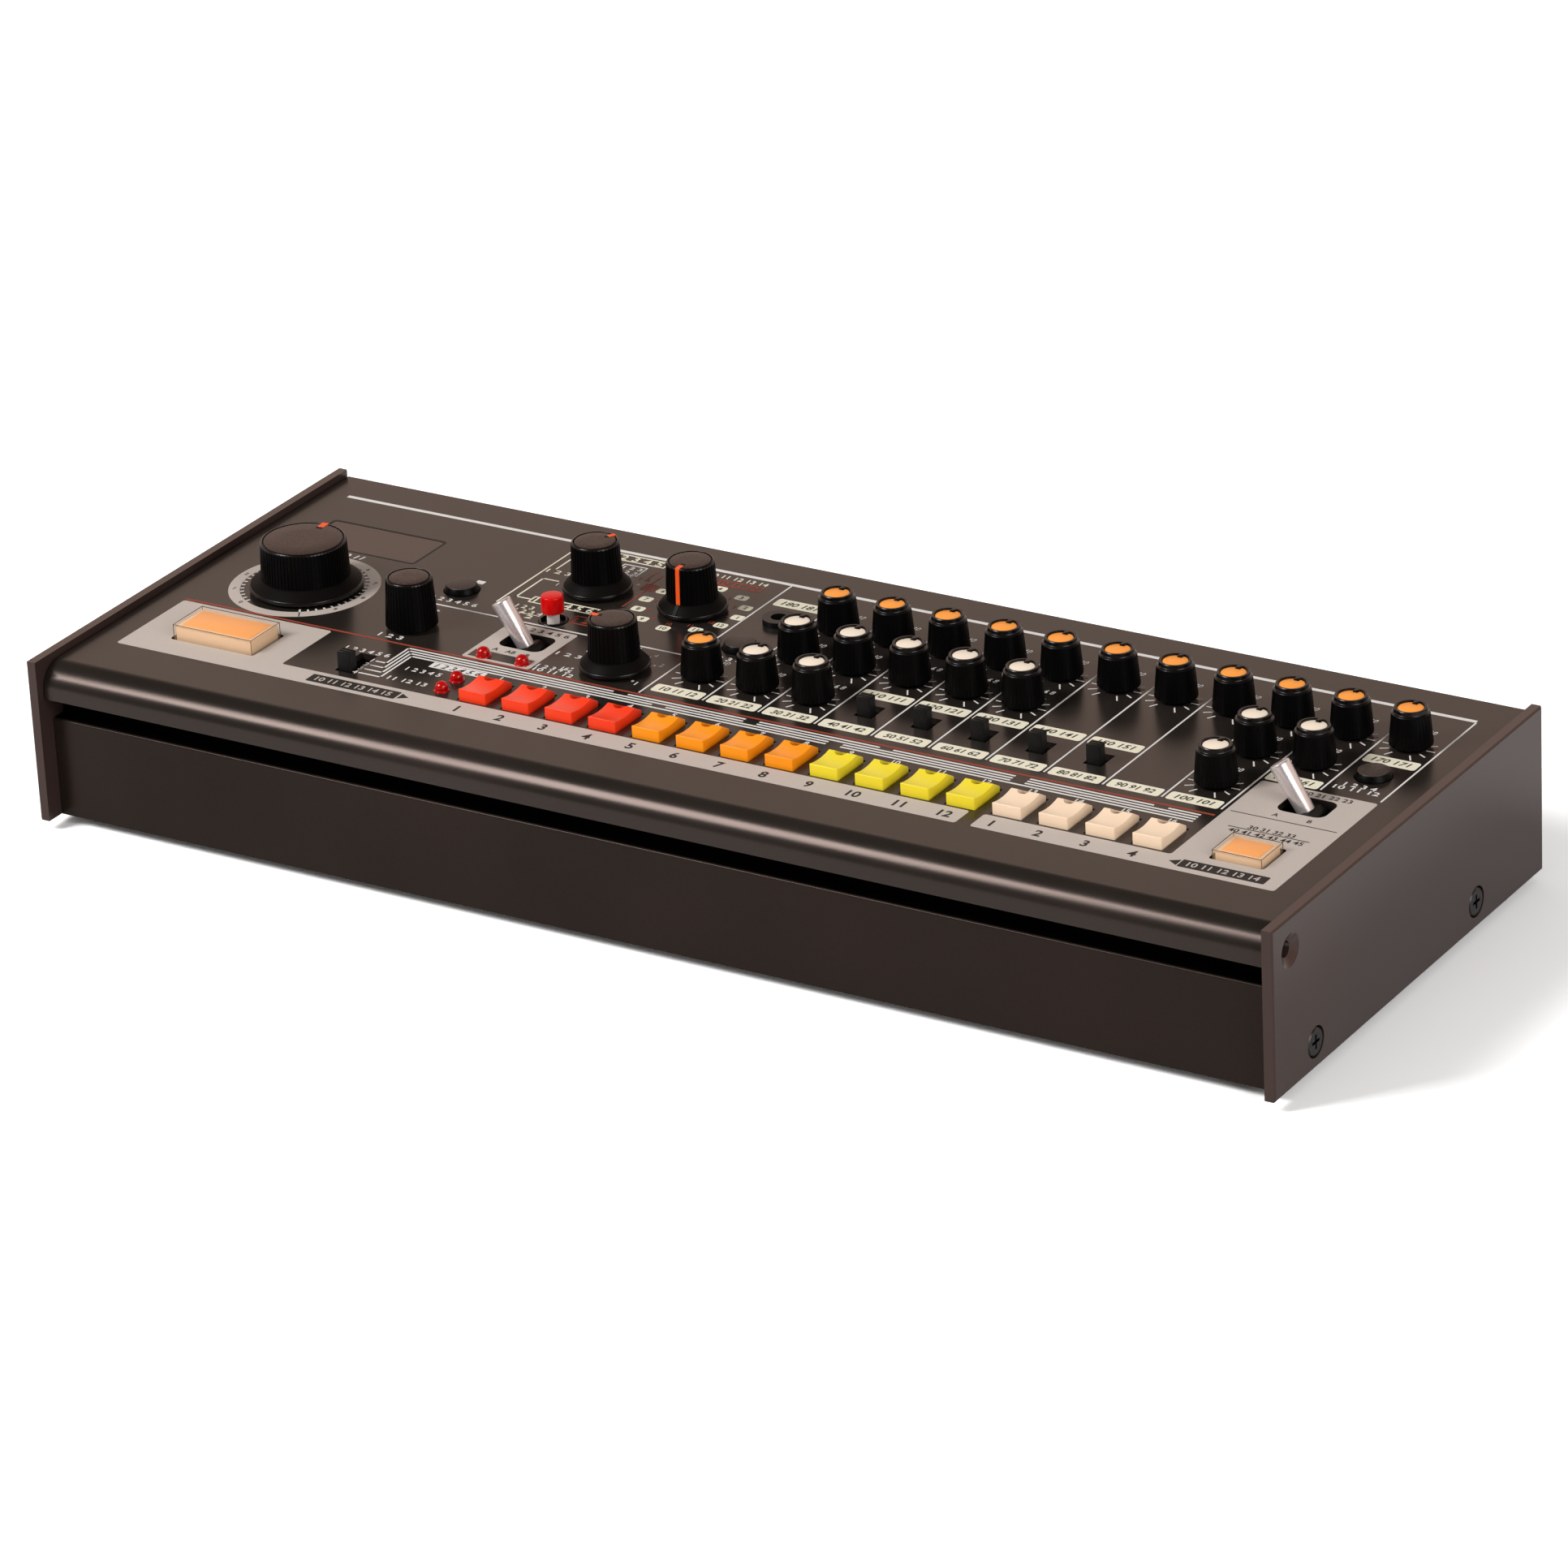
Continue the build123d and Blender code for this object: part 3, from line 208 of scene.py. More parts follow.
class Finish(Graph):
    """One material on a Principled shader."""

    def __init__(self, name, colour, roughness, **constants):
        self.material = bpy.data.materials.new(name)
        super().__init__(self.material)
        self.shader = self.tree.nodes["Principled BSDF"]
        self.colour = colour
        self.put(self.shader.inputs["Base Color"], (*colour, 1))
        self.put(self.shader.inputs["Roughness"], roughness)
        for key, value in constants.items():
            self.put(self.shader.inputs[key.replace("_", " ")], value)
        self.place = self.node("ShaderNodeTexCoord", {}, {}).outputs["Object"]

    def noise(self, size_mm, detail=2.0, stretch=(1, 1, 1)):
        """Soft noise whose lumps are about this large."""
        scaled = self.node(
            "ShaderNodeMapping", {}, {"Vector": self.place, "Scale": stretch})
        node = self.node("ShaderNodeTexNoise", {}, {
            "Vector": scaled.outputs["Vector"], "Scale": 1 / (size_mm * MM),
            "Detail": detail})
        return Value(self, node.outputs["Fac"])

    def tint(self, factor, second):
        """Mix the base colour towards a second colour."""
        node = self.node("ShaderNodeMix", {"data_type": "RGBA"}, {
            "Factor": factor, 6: (*self.colour, 1), 7: (*second, 1)})
        self.put(self.shader.inputs["Base Color"], node.outputs[2])
        return self

    def rough(self, value):
        """Let the roughness follow a value."""
        self.put(self.shader.inputs["Roughness"], value)
        return self

    def bump(self, height, depth_mm):
        """Let fine relief follow a value, with this depth at full height."""
        node = self.node("ShaderNodeBump", {}, {
            "Height": height, "Distance": depth_mm * MM, "Strength": 1.0})
        self.put(self.shader.inputs["Normal"], node.outputs["Normal"])
        return self


def mixed(colour, other, share):
    """A colour part of the way to another one."""
    return tuple(a + (b - a) * share for a, b in zip(colour, other))


black = (0.0, 0.0, 0.0)
dust = (1.0, 0.6, 0.5)
warm = (1.0, 0.76, 0.68)
print("shader helpers ready")

# %% [markdown]
# ## Paint
# The folded panel and the flat cheeks are powder coated: a dark warm grey with a very
# fine grain that breaks up the reflections. Two noises make it, a fine one for the
# grain and a wide one that lets the sheen drift a little, as a real coat does. The
# colours are low, because most of what the eye sees on such a coat is its sheen, and
# the tint of that sheen is warm.

# %% Paint and case plastics
def coated(name, colour, roughness, grain_mm, depth_mm, level):
    """Powder coat: fine grain in the relief, a slow drift in colour and sheen."""
    finish = Finish(
        name, colour, roughness, Specular_IOR_Level=level, Specular_Tint=(*warm, 1))
    grain = finish.noise(grain_mm, 3.0)
    drift = finish.noise(38.0, 2.0)
    finish.tint(drift * 0.6 + grain * 0.3, mixed(colour, dust, 0.018))
    finish.rough(roughness - 0.05 + drift * 0.1)
    return finish.bump(grain, depth_mm)


panel_paint = coated("panel_paint", (0.0080, 0.0078, 0.0064), 0.25, 0.30, 0.003, 0.31)
cheek_paint = coated("cheek_paint", (0.024, 0.0145, 0.0125), 0.20, 0.34, 0.003, 0.36)
case_plastic = coated("case_plastic", (0.0075, 0.0055, 0.0042), 0.24, 0.45, 0.005, 0.10)
print(len(bpy.data.materials), "finishes")

# %% [markdown]
# ## Plastics and rubber
# Knobs are moulded in black with a satin skin, and their top discs carry a coarse
# texture. Keys and caps are dyed plastics with a soft gloss; a faint cloud in the dye
# and a trace of grain keep them from looking like flat paint.

# %% Moulded plastics
def moulded(name, colour, roughness, level=0.35, cloud=0.08):
    """Dyed plastic: a faint cloud in the dye and a trace of grain in the skin."""
    finish = Finish(name, colour, roughness, Specular_IOR_Level=level)
    dye = finish.noise(6.0, 2.0)
    grain = finish.noise(0.25, 2.0)
    finish.tint(dye, tuple(part * (1 - cloud) for part in colour))
    finish.rough(roughness - 0.04 + dye * 0.08)
    return finish.bump(grain, 0.004)


def textured(name, colour, roughness, lump_mm, depth_mm, level):
    """Coarse moulded texture, as on the top disc of a knob."""
    finish = Finish(name, colour, roughness, Specular_IOR_Level=level)
    lumps = finish.noise(lump_mm, 4.0)
    finish.tint(finish.ramp(lumps, (0.35, 0), (0.65, 1)), mixed(colour, dust, 0.03))
    return finish.bump(lumps, depth_mm)


knob_black = moulded("knob_black", (0.0020, 0.0018, 0.0018), 0.36, 0.06)
skirt_black = moulded("skirt_black", (0.0045, 0.0036, 0.0032), 0.50, 0.04)
rim_satin = moulded("rim_satin", (0.004, 0.003, 0.003), 0.28, 0.26)
disc_black = textured("disc_black", (0.032, 0.019, 0.014), 0.42, 0.42, 0.06, 0.24)
switch_black = moulded("switch_black", (0.005, 0.005, 0.005), 0.40, 0.25)
socket_black = moulded("socket_black", (0.004, 0.004, 0.004), 0.35, 0.3)
button_rubber = textured("button_rubber", (0.028, 0.020, 0.017), 0.45, 0.3, 0.01, 0.24)
foot_rubber = textured("foot_rubber", (0.014, 0.013, 0.013), 0.8, 0.6, 0.05, 0.3)
orange_mark = moulded("orange_mark", (0.84, 0.09, 0.008), 0.45)
orange_cap = moulded("orange_cap", (0.98, 0.34, 0.05), 0.42, 0.3)
white_cap = moulded("white_cap", (0.88, 0.74, 0.60), 0.42, 0.3)
stem_white = moulded("stem_white", (0.70, 0.60, 0.58), 0.4)
clear_red = moulded("clear_red", (0.64, 0.001, 0.001), 0.28, 0.24)
key_red = moulded("key_red", (0.90, 0.044, 0.008), 0.34)
key_orange = moulded("key_orange", (0.97, 0.29, 0.004), 0.34)
key_yellow = moulded("key_yellow", (0.84, 0.66, 0.025), 0.34)
key_cream = moulded("key_cream", (0.88, 0.66, 0.47), 0.34)
button_cream = moulded("button_cream", (0.80, 0.54, 0.34), 0.4)
button_amber = moulded("button_amber", (0.96, 0.36, 0.06), 0.45)
cover_edge = moulded("cover_edge", (0.085, 0.034, 0.012), 0.25)
# Flat black that is painted shade: it lines the groove above the fascia, where shadow
# falls.
painted_shade_black = moulded("painted_shade_black", (0.0012, 0.0010, 0.0010), 0.7, 0.0)
print(len(bpy.data.materials), "finishes")

# %% [markdown]
# ## Lenses, glass and metal
# Lamps are domes of dyed clear plastic. Their gloss comes from a clear coat over a
# deep colour, which is quicker to render than real refraction at this size. The toggle
# handles are turned and polished: metal with very fine rings in its roughness.

# %% Lenses, window and metal
def lens(name, colour, roughness):
    """Dyed clear plastic: deep colour under a clear coat."""
    finish = Finish(name, colour, roughness, Coat_Weight=0.3, Coat_Roughness=0.04,
                    Specular_IOR_Level=0.25)
    depth = finish.noise(1.5, 1.0)
    return finish.tint(depth, mixed(colour, black, 0.5))


def polished(name, colour, roughness, size_mm, stretch=(1, 1, 1), metal=1.0):
    """Metal whose roughness has fine drawn marks along it."""
    finish = Finish(name, colour, roughness, Metallic=metal)
    marks = finish.noise(size_mm, 3.0, stretch)
    finish.rough(roughness - 0.05 + marks * 0.12)
    finish.tint(marks, mixed(colour, black, 0.12))
    return finish.bump(marks, 0.004)


def clear_plastic(name, colour, roughness):
    """Clear cover: mostly see-through, with its own gloss and a light haze."""
    finish = Finish(name, colour, roughness, Alpha=0.10, Coat_Weight=0.4)
    haze = finish.noise(5.0, 2.0)
    return finish.rough(roughness + haze * 0.08)


lamp_red = lens("lamp_red", (0.52, 0.0015, 0.0008), 0.22)
lamp_brown = lens("lamp_brown", (0.055, 0.022, 0.016), 0.3)
window_smoke = coated("window_smoke", (0.020, 0.012, 0.009), 0.18, 0.8, 0.001, 0.31)
toggle_metal = polished("toggle_metal", (0.72, 0.655, 0.65), 0.28, 1.2, (6, 6, 1), 0.7)
screw_steel = polished("screw_steel", (0.045, 0.042, 0.042), 0.36, 0.6)
cover_clear = clear_plastic("cover_clear", (0.85, 0.62, 0.40), 0.12)
print(len(bpy.data.materials), "finishes")

# %% [markdown]
# ## Printing inks
# The legends are screen printed. Ink lies as a film a few hundredths of a millimetre
# thick, with a dull surface and tiny breaks in its density, so each ink is a matt
# finish with a fine noise in colour, and each mark will be a thin raised solid.

# %% Inks
def ink(name, colour, roughness=0.6):
    """Screen-printing ink, matt and slightly uneven."""
    finish = Finish(name, colour, roughness, Specular_IOR_Level=0.3)
    density = finish.noise(0.5, 3.0)
    finish.tint(density, mixed(colour, black, 0.12))
    return finish.bump(density, 0.006)


ink_white = ink("ink_white", (0.72, 0.68, 0.65))
ink_silver = ink("ink_silver", (0.50, 0.43, 0.385), 0.5)
ink_cream = ink("ink_cream", (0.80, 0.74, 0.58))
ink_red = ink("ink_red", (0.30, 0.050, 0.026))
ink_dark = ink("ink_dark", (0.022, 0.018, 0.016))
print(len(bpy.data.materials), "finishes")

# %% [markdown]
# ## Light and floor
# The machine stands on a pale table in soft studio light: a lamp high at the left
# front, which draws the long highlight on the rolled edge, and a weaker, wider one at
# the right. The camera sees the room as plain white paper, while a dim warm room fills
# the shadows. Reflections see a pale wall behind the machine and darkness elsewhere,
# which gives gloss its shape. The Light Path node decides, so the white never brightens
# the object itself.

# %% Light the set
lamp_aim = Vector((0, 0, 0.03))


def soft_lamp(name, place, width, depth, power):
    """A rectangular lamp that looks at the middle of the machine."""
    data = bpy.data.lights.new(name, "AREA")
    data.shape = "RECTANGLE"
    data.size = width
    data.size_y = depth
    data.energy = power
    direction = lamp_aim - Vector(place)
    linked(name, data).matrix_world = Matrix.LocRotScale(
        Vector(place), direction.to_track_quat("-Z", "Y"), None)


def ray_kinds(graph):
    """Whether the camera, a reflection or a clear body is looking."""
    path = graph.node("ShaderNodeLightPath", {}, {})
    return [Value(graph, path.outputs["Is " + kind + " Ray"])
            for kind in ("Camera", "Glossy", "Transmission")]


soft_lamp("left_front", (-0.80, -0.90, 1.09), 0.5, 0.6, 23.5)
soft_lamp("right", (1.20, -0.50, 0.60), 0.8, 0.8, 11.0)

world = bpy.data.worlds.new("studio")
scene.world = world
studio = Graph(world)
paper = studio.tree.nodes["Background"]
studio.put(paper.inputs["Color"], (1, 1, 1, 1))
studio.put(paper.inputs["Strength"], 1.0)
room = studio.node("ShaderNodeBackground", {}, {
    "Color": (1.0, 0.97, 0.94, 1), "Strength": 0.32})
direction = studio.node("ShaderNodeTexCoord", {}, {}).outputs["Generated"]
split = studio.node("ShaderNodeSeparateXYZ", {}, {"Vector": direction})
low = studio.ramp(Value(studio, split.outputs["Z"]), (0.46, 1.0), (0.60, 0.0))
far = studio.ramp(Value(studio, split.outputs["Y"]) + 1.0, (0.45, 0.0), (0.75, 1.0))
wall = low * far
wall_colour = studio.node("ShaderNodeMix", {"data_type": "RGBA"}, {
    "Factor": wall, 6: (0.04, 0.035, 0.03, 1), 7: (1.0, 0.76, 0.64, 1)}).outputs[2]
mirror = studio.node("ShaderNodeBackground", {}, {
    "Color": wall_colour, "Strength": 1.0})
seen, reflected, through = ray_kinds(studio)
inside = studio.node("ShaderNodeMixShader", {}, {
    0: reflected + through, 1: room.outputs[0], 2: mirror.outputs[0]})
outside = studio.node("ShaderNodeMixShader", {}, {
    0: seen, 1: inside.outputs[0], 2: paper.outputs[0]})
studio.put(studio.tree.nodes["World Output"].inputs["Surface"], outside.outputs[0])

scene.view_settings.view_transform = "Standard"

floor_paint = Finish("floor_paper", (0.80, 0.80, 0.80), 0.9, Specular_IOR_Level=0.0)
seen, reflected, through = ray_kinds(floor_paint)
floor_paint.put(floor_paint.shader.inputs["Base Color"],
                0.80 + seen * 0.60 + (reflected + through) * 0.15)
floor_bm = bmesh.new()
bmesh.ops.create_grid(floor_bm, x_segments=1, y_segments=1, size=6.0)
floor_mesh = bpy.data.meshes.new("floor")
floor_bm.to_mesh(floor_mesh)
floor_bm.free()
floor_mesh.materials.append(floor_paint.material)
linked("floor", floor_mesh)
print("lights and floor ready")

# %% [markdown]
# ## Making pieces
# Every new piece starts as a bmesh in millimetres round its own axis. One function
# finishes it: it moves the mesh to its place, scales it to metres, smooths what is
# round and keeps what is sharp, and lets it ride on its body. A CAD node that already
# has the right shape is copied, its loose triangles are merged, and the copy gets the
# same treatment.

# %% Helpers that finish a piece
def piece(bm, name, finish, body, slot, place=None, sharp=35.0):
    """Place a bmesh in millimetres, turn it into metres and let it ride on a body."""
    mesh = bpy.data.meshes.new(name)
    bm.to_mesh(mesh)
    mesh.transform(Matrix.Scale(MM, 4) @ (place or Matrix()))
    mesh.materials.append(finish.material)
    if "custom_normal" in mesh.attributes:
        mesh.attributes.remove(mesh.attributes["custom_normal"])
    mesh.shade_smooth()
    mesh.set_sharp_from_angle(angle=radians(sharp))
    obj = linked(name, mesh)
    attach(obj, body)
    return obj


covered = set()


def worn(node, slot, place, *parts):
    """Pieces of one control, named after it. The first one stands for the node."""
    for part, bm, finish, *sharp in parts:
        obj = piece(bm, node + "_" + part, finish, node, slot, place, *sharp)
        if node not in covered:
            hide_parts(node)
            covered.add(node)


def dressed(node, finish, slot):
    """A merged and smoothed copy of a CAD node, which stands for the node."""
    bm = bmesh.new()
    bm.from_mesh(frame["nodes"][node].data)
    bmesh.ops.remove_doubles(bm, verts=bm.verts, dist=0.00001)
    bmesh.ops.dissolve_limit(
        bm, angle_limit=radians(0.5), verts=bm.verts, edges=bm.edges)
    bmesh.ops.triangulate(bm, faces=bm.faces)
    bm.transform(Matrix.Scale(1 / MM, 4))
    body = frame["nodes"][node]["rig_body"]
    obj = piece(bm, node + "_skin", finish, body, slot, None, 30.0)
    bm.free()
    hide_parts(node)
    modifier = obj.modifiers.new("flat_faces_stay_flat", "WEIGHTED_NORMAL")
    modifier.keep_sharp = True


def over(node):
    """Place on the panel, at the middle of a node."""
    spot = middle_of(node)
    return shift(spot.x, spot.y, panel_top)


def behind(node):
    """Place on the rear face at a node, turned so that Z points to the rear."""
    spot = middle_of(node)
    return shift(spot.x, rear_y, spot.z) @ turn(-90, "X")


def height_of(node):
    """Height of a node's top above the panel."""
    return box_mm(node)[1].z - panel_top


def turned(profile, steps=64):
    """A bmesh spun about Z from (radius, height) points."""
    bm = bmesh.new()
    corners = [bm.verts.new((radius, 0, height)) for radius, height in profile]
    edges = [bm.edges.new(pair) for pair in zip(corners, corners[1:])]
    bmesh.ops.spin(
        bm, geom=corners + edges, cent=(0, 0, 0), axis=(0, 0, 1), dvec=(0, 0, 0),
        angle=tau, steps=steps, use_merge=True)
    bmesh.ops.remove_doubles(bm, verts=bm.verts, dist=0.001)
    bmesh.ops.recalc_face_normals(bm, faces=bm.faces)
    return bm


def rounded(edges, bm, offset, segments):
    """Round some edges over."""
    bmesh.ops.bevel(
        bm, geom=edges, offset=offset, offset_type="OFFSET", affect="EDGES",
        segments=segments, profile=0.5, material=-1)


def block(width, depth, low, high, offset=0.0, segments=2):
    """A box on the Z axis between two heights, with its edges rounded."""
    bm = bmesh.new()
    size = Matrix.Diagonal((width, depth, high - low, 1))
    middle = shift(0, 0, (low + high) / 2)
    bmesh.ops.create_cube(bm, size=1, matrix=middle @ size)
    if offset:
        rounded(bm.edges[:], bm, offset, segments)
    return bm


def added(bm, other, place=None):
    """Put a copy of another bmesh into this one."""
    mesh = bpy.data.meshes.new("part")
    other.to_mesh(mesh)
    mesh.transform(place or Matrix())
    bm.from_mesh(mesh)
    bpy.data.meshes.remove(mesh)


print("piece helpers ready")

# %% [markdown]
# ## Case, panel and cheeks
# The large parts are flat sheet and simple mouldings that the solids already describe
# to a tenth of a millimetre. They only need clean shading: the rolled front edge of
# the panel has to read as one smooth curve, while the flats beside it stay flat.

# %% Dress the large parts
dressed("top_panel", panel_paint, "panel_paint")
dressed("left_cheek", cheek_paint, "cheek_paint")
dressed("right_cheek", cheek_paint, "cheek_paint")
dressed("bottom_case", case_plastic, "case_plastic")
dressed("rear_panel", panel_paint, "panel_paint")
print("large parts dressed")

# %% [markdown]
# ### Groove
# A dark groove runs between the lip of the panel and the fascia. Its walls belong to
# the case, so its shade is painted: black blocks are laid on its floor and rear wall as
# painted shade, which stays dark from every side, while a shadow would come and go with the
# lamps.

# %% Paint shade into the groove above the fascia
fascia_setback = 4.56
fascia_height = 23.2
groove_depth = 4.0
sheet = 1.5
air = 0.02

fascia_y = front_y + fascia_setback
fascia_top = box_mm("bottom_case")[0].z + fascia_height
groove_shade_width = 2 * (box_mm("right_cheek")[0].x - 0.4)
# Painted shade: thin black blocks on the groove's floor and rear wall stand in for its
# shadow.
groove_shade_blocks = bmesh.new()
added(groove_shade_blocks, block(groove_shade_width, 0.3, fascia_top + air, panel_top - sheet - 0.1),
      shift(0, fascia_y + groove_depth - 0.15 - air, 0))
added(groove_shade_blocks, block(groove_shade_width, groove_depth - 0.7, fascia_top + air, fascia_top + 0.1),
      shift(0, fascia_y + groove_depth / 2 + 0.2, 0))
piece(groove_shade_blocks, "groove_painted_shade", painted_shade_black, "case", "case_plastic")
print("groove lined")

# %% [markdown]
# ### Small fixed parts
# The battery door, the window, the feet, the screws and the sockets are copied in the
# same way. Boards and switch bodies inside can hardly be seen, so they keep their
# solids and only get a colour of their own.

# %% Dress the small parts
dressed("battery_door", case_plastic, "case_plastic")
dressed("display_window", window_smoke, "smoked_window")
dressed("rubber_feet", foot_rubber, "foot_rubber")
dressed("case_screws", screw_steel, "black_steel")
dressed("jack_sockets", socket_black, "socket_plastic")

board_green = moulded("board_green", (0.02, 0.11, 0.045), 0.4)
for node, finish in (("circuit_boards", board_green), ("control_bodies", switch_black)):
    materials = frame["nodes"][node].data.materials
    materials.clear()
    materials.append(finish.material)
print("small parts dressed")

# %% [markdown]
# ## Ribbed knobs
# A knob is a turned shape, so its outline is drawn once as radius and height and spun
# round. The spin leaves narrow strips down the side; pressing in every second one with
# an inset makes the ribs that fingers grip. The small knobs have a glossier rim, with a
# coloured cap sunk in it and a short pointer bar across the cap's edge.

# %% Small knobs with caps
def ribbed(bm, low, high, count, depth, margin):
    """Press every second strip of a turned wall inwards."""
    strips = []
    for face in bm.faces:
        middle = face.calc_center_median()
        if low < middle.z < high and abs(face.normal.z) < 0.8:
            strip = floor(atan2(middle.y, middle.x) / tau * 2 * count)
            if strip % 2 == 0:
                strips.append(face)
    bmesh.ops.inset_individual(bm, faces=strips, thickness=margin, depth=-depth)


cap_colour = {}
for node in frame["nodes"]:
    if node.endswith("_level_knob"):
        cap_colour[node] = orange_cap
    elif node.endswith(("_tone_knob", "_decay_knob", "_snappy_knob", "_tuning_knob")):
        cap_colour[node] = white_cap

small_height = height_of("accent_level_knob")
small_top = turned([
    (0, 7.9), (4.10, 7.9), (4.12, 8.0), (3.97, 8.17), (3.74, 8.25), (3.65, 8.36),
    (3.61, 8.55), (3.58, small_height - 0.14), (3.47, small_height), (3.1, small_height),
    (2.98, small_height - 0.1), (2.92, small_height - 0.4), (2.92, small_height - 0.9),
    (0, small_height - 0.9),
])
small_ribs = 32
small_body = turned([
    (0, 0.7), (4.45, 0.7), (4.70, 0.85), (4.75, 1.1), (4.14, 7.92), (4.05, 8.0), (0, 8.0),
], 2 * small_ribs)
ribbed(small_body, 2.0, 7.0, small_ribs, 0.05, 0.04)
pointer = block(1.15, 1.9, small_height - 0.85, small_height + 0.02, 0.12)
added(small_top, pointer, shift(0, 2.66, -0.03))
small_cap = turned([
    (0, small_height - 0.3), (2.62, small_height - 0.32), (2.8, small_height - 0.4),
    (2.88, small_height - 0.56), (2.88, small_height - 0.88), (0, small_height - 0.88),
], 48)
for node, colour in sorted(cap_colour.items()):
    worn(node, "knob_plastic", over(node), ("body", small_body, knob_black),
         ("rim", small_top, rim_satin), ("cap", small_cap, colour))
print(len(cap_colour), "small knobs")

# %% [markdown]
# ## Skirted knobs
# The selectors and the tempo knob add a cone at the foot. It is smooth, and the ribs
# start above it. A crown with a round edge and a textured disc close the top, and an
# orange mark is let into them. The outline comes from a few radii, so one function
# makes all four.

# %% Skirted knobs
cone_top = 3.5


def skirt_rim(skirt):
    """Low rim of a skirt, its upper edge rounded over."""
    return turned([
        (0, 0.7), (skirt - 0.25, 0.7), (skirt - 0.07, 0.78), (skirt, 0.95), (skirt, 1.42),
        (skirt - 0.05, 1.58), (skirt - 0.17, 1.70), (skirt - 0.32, 1.74), (0, 1.74),
    ], 96)


def skirt_cone(skirt, waist):
    """Smooth cone between the rim and the ribs."""
    return turned([
        (0, 1.6), (skirt - 0.30, 1.72), (waist + 0.55, cone_top - 0.3),
        (waist + 0.2, cone_top - 0.08), (waist - 0.1, cone_top), (0, cone_top),
    ], 96)


def gripped(foot, waist, top, height, ribs, rib_depth):
    """Ribbed body of a knob, open at the top for its crown."""
    bm = turned([
        (0, foot), (waist - 0.2, foot), (waist, foot + 0.2), (top + 0.01, height - 0.62),
        (top - 0.06, height - 0.56), (0, height - 0.56),
    ], 2 * ribs)
    ribbed(bm, foot + 0.3, height - 0.6, ribs, rib_depth, 0.05)
    return bm


crown_edge = [
    (0.2, 0.7), (0, 0.62), (0.07, 0.36), (0.2, 0.17), (0.36, 0.08), (0.46, 0.06),
    (0.52, 0.12), (0.54, 0.6), (0.2, 0.7),
]


def crown(top, height, ribs):
    """Rounded edge round the disc, with the ends of the ribs running over it."""
    bm = turned([(top - inset, height - drop) for inset, drop in crown_edge], 2 * ribs)
    ribbed(bm, height - 0.6, height - 0.1, ribs, 0.05, 0.03)
    return bm


def top_disc(top, height):
    """Slightly crowned disc inside the edge of a knob."""
    radius = top - 0.8
    return turned([
        (0, height - 0.02), (radius * 0.5, height - 0.03), (radius - 0.25, height - 0.07),
        (radius, height - 0.16), (radius, height - 0.57), (0, height - 0.57),
    ], 64)


def rim_mark(width, top, height, reach):
    """Flat mark let into the rim of a knob, towards +Y."""
    bm = block(width, reach, height - 0.5, height, 0.05, 1)
    bm.transform(shift(0, top - reach / 2, 0))
    return bm


def knob_top(top, height, ribs):
    """Crown and disc of a large knob."""
    return (("crown", crown(top, height, ribs), rim_satin),
            ("disc", top_disc(top, height), disc_black))


def skirted_knob(node, sizes, heading, mark_width, mark_reach):
    """All pieces of one skirted knob, with its mark turned from the rear."""
    skirt, waist, top, ribs, rib_depth = sizes
    height = height_of(node)
    outer = top - 0.1
    place = over(node) @ turn(heading, "Z")
    worn(node, "knob_plastic", place,
         ("body", gripped(cone_top - 0.2, waist, top, height, ribs, rib_depth), knob_black),
         ("rim", skirt_rim(skirt), rim_satin),
         ("cone", skirt_cone(skirt, waist), skirt_black),
         *knob_top(top, height, ribs),
         ("mark", rim_mark(mark_width, outer, height, mark_reach), orange_mark),
         ("slot", rim_mark(mark_width, outer - mark_reach, height - 0.01, 0.9), knob_black))
    return place


selector = (7.9, 5.8, 5.4, 36, 0.14)
skirted_knob("mode_knob", selector, -25.0, 1.1, 1.8)
skirted_knob("fill_knob", selector, 90.0, 1.1, 1.8)
line_place = skirted_knob("instrument_knob", selector, 180.0, 1.1, 1.8)
side_line = block(1.0, 0.3, cone_top + 0.05, 11.95, 0.05, 1)
side_line.transform(shift(0, 5.96, 0) @ turn(2.8, "X"))
foot_line = block(0.9, 2.6, -0.1, 0.06, 0.03, 1)
foot_line.transform(shift(0, 6.92, 2.63) @ turn(-45.5, "X"))
worn("instrument_knob", "knob_plastic", line_place, ("line", side_line, orange_mark),
     ("foot_line", foot_line, knob_black))
skirted_knob("tempo_knob", (12.8, 10.05, 9.65, 72, 0.16), 2.0, 1.6, 2.4)
print("selectors and tempo knob")

# %% [markdown]
# ### Value and volume knobs
# The value knob turns without end, so it has neither a skirt nor a mark. The volume
# knob sits on the rear face, where a place that turns Z towards the rear lets it be
# drawn upright like the others.

# %% Value knob and volume knob
value_height = height_of("value_knob")
worn("value_knob", "knob_plastic", over("value_knob"),
     ("body", gripped(0.7, 5.85, 5.2, value_height, 40, 0.13), knob_black),
     *knob_top(5.2, value_height, 40))

volume_body = turned([
    (0, 1.0), (5.7, 1.0), (5.95, 1.15), (6.0, 1.5), (6.0, 8.4), (5.85, 8.8),
    (5.5, 8.97), (0, 8.97),
], 72)
ribbed(volume_body, 1.6, 8.2, 36, 0.15, 0.06)
worn("volume_knob", "knob_plastic", behind("volume_knob"),
     ("body", volume_body, knob_black), ("mark", rim_mark(0.7, 5.6, 9.0, 2.6), ink_white))
print("value and volume knobs")

# %% [markdown]
# ## Step keys
# Each key is a low block with a hollow top and a rear edge that slopes down to the
# panel. Its side view says most of that, so the side is drawn, extruded across and
# rounded. The notch for the lamp is cut with a Boolean, because it crosses both the
# hollow and the slope.

# %% One key, sixteen times
key_width = 6.85
key_length = 10.6
key_height = 2.5
key_dish = 0.5
key_rear_height = 0.9
key_rear_slope = 2.6
key_root = -2.9
key_round = 0.18
key_flange = 0.8
notch_radius = 1.45
notch_shift = -0.4
lamp_setback = 0.2


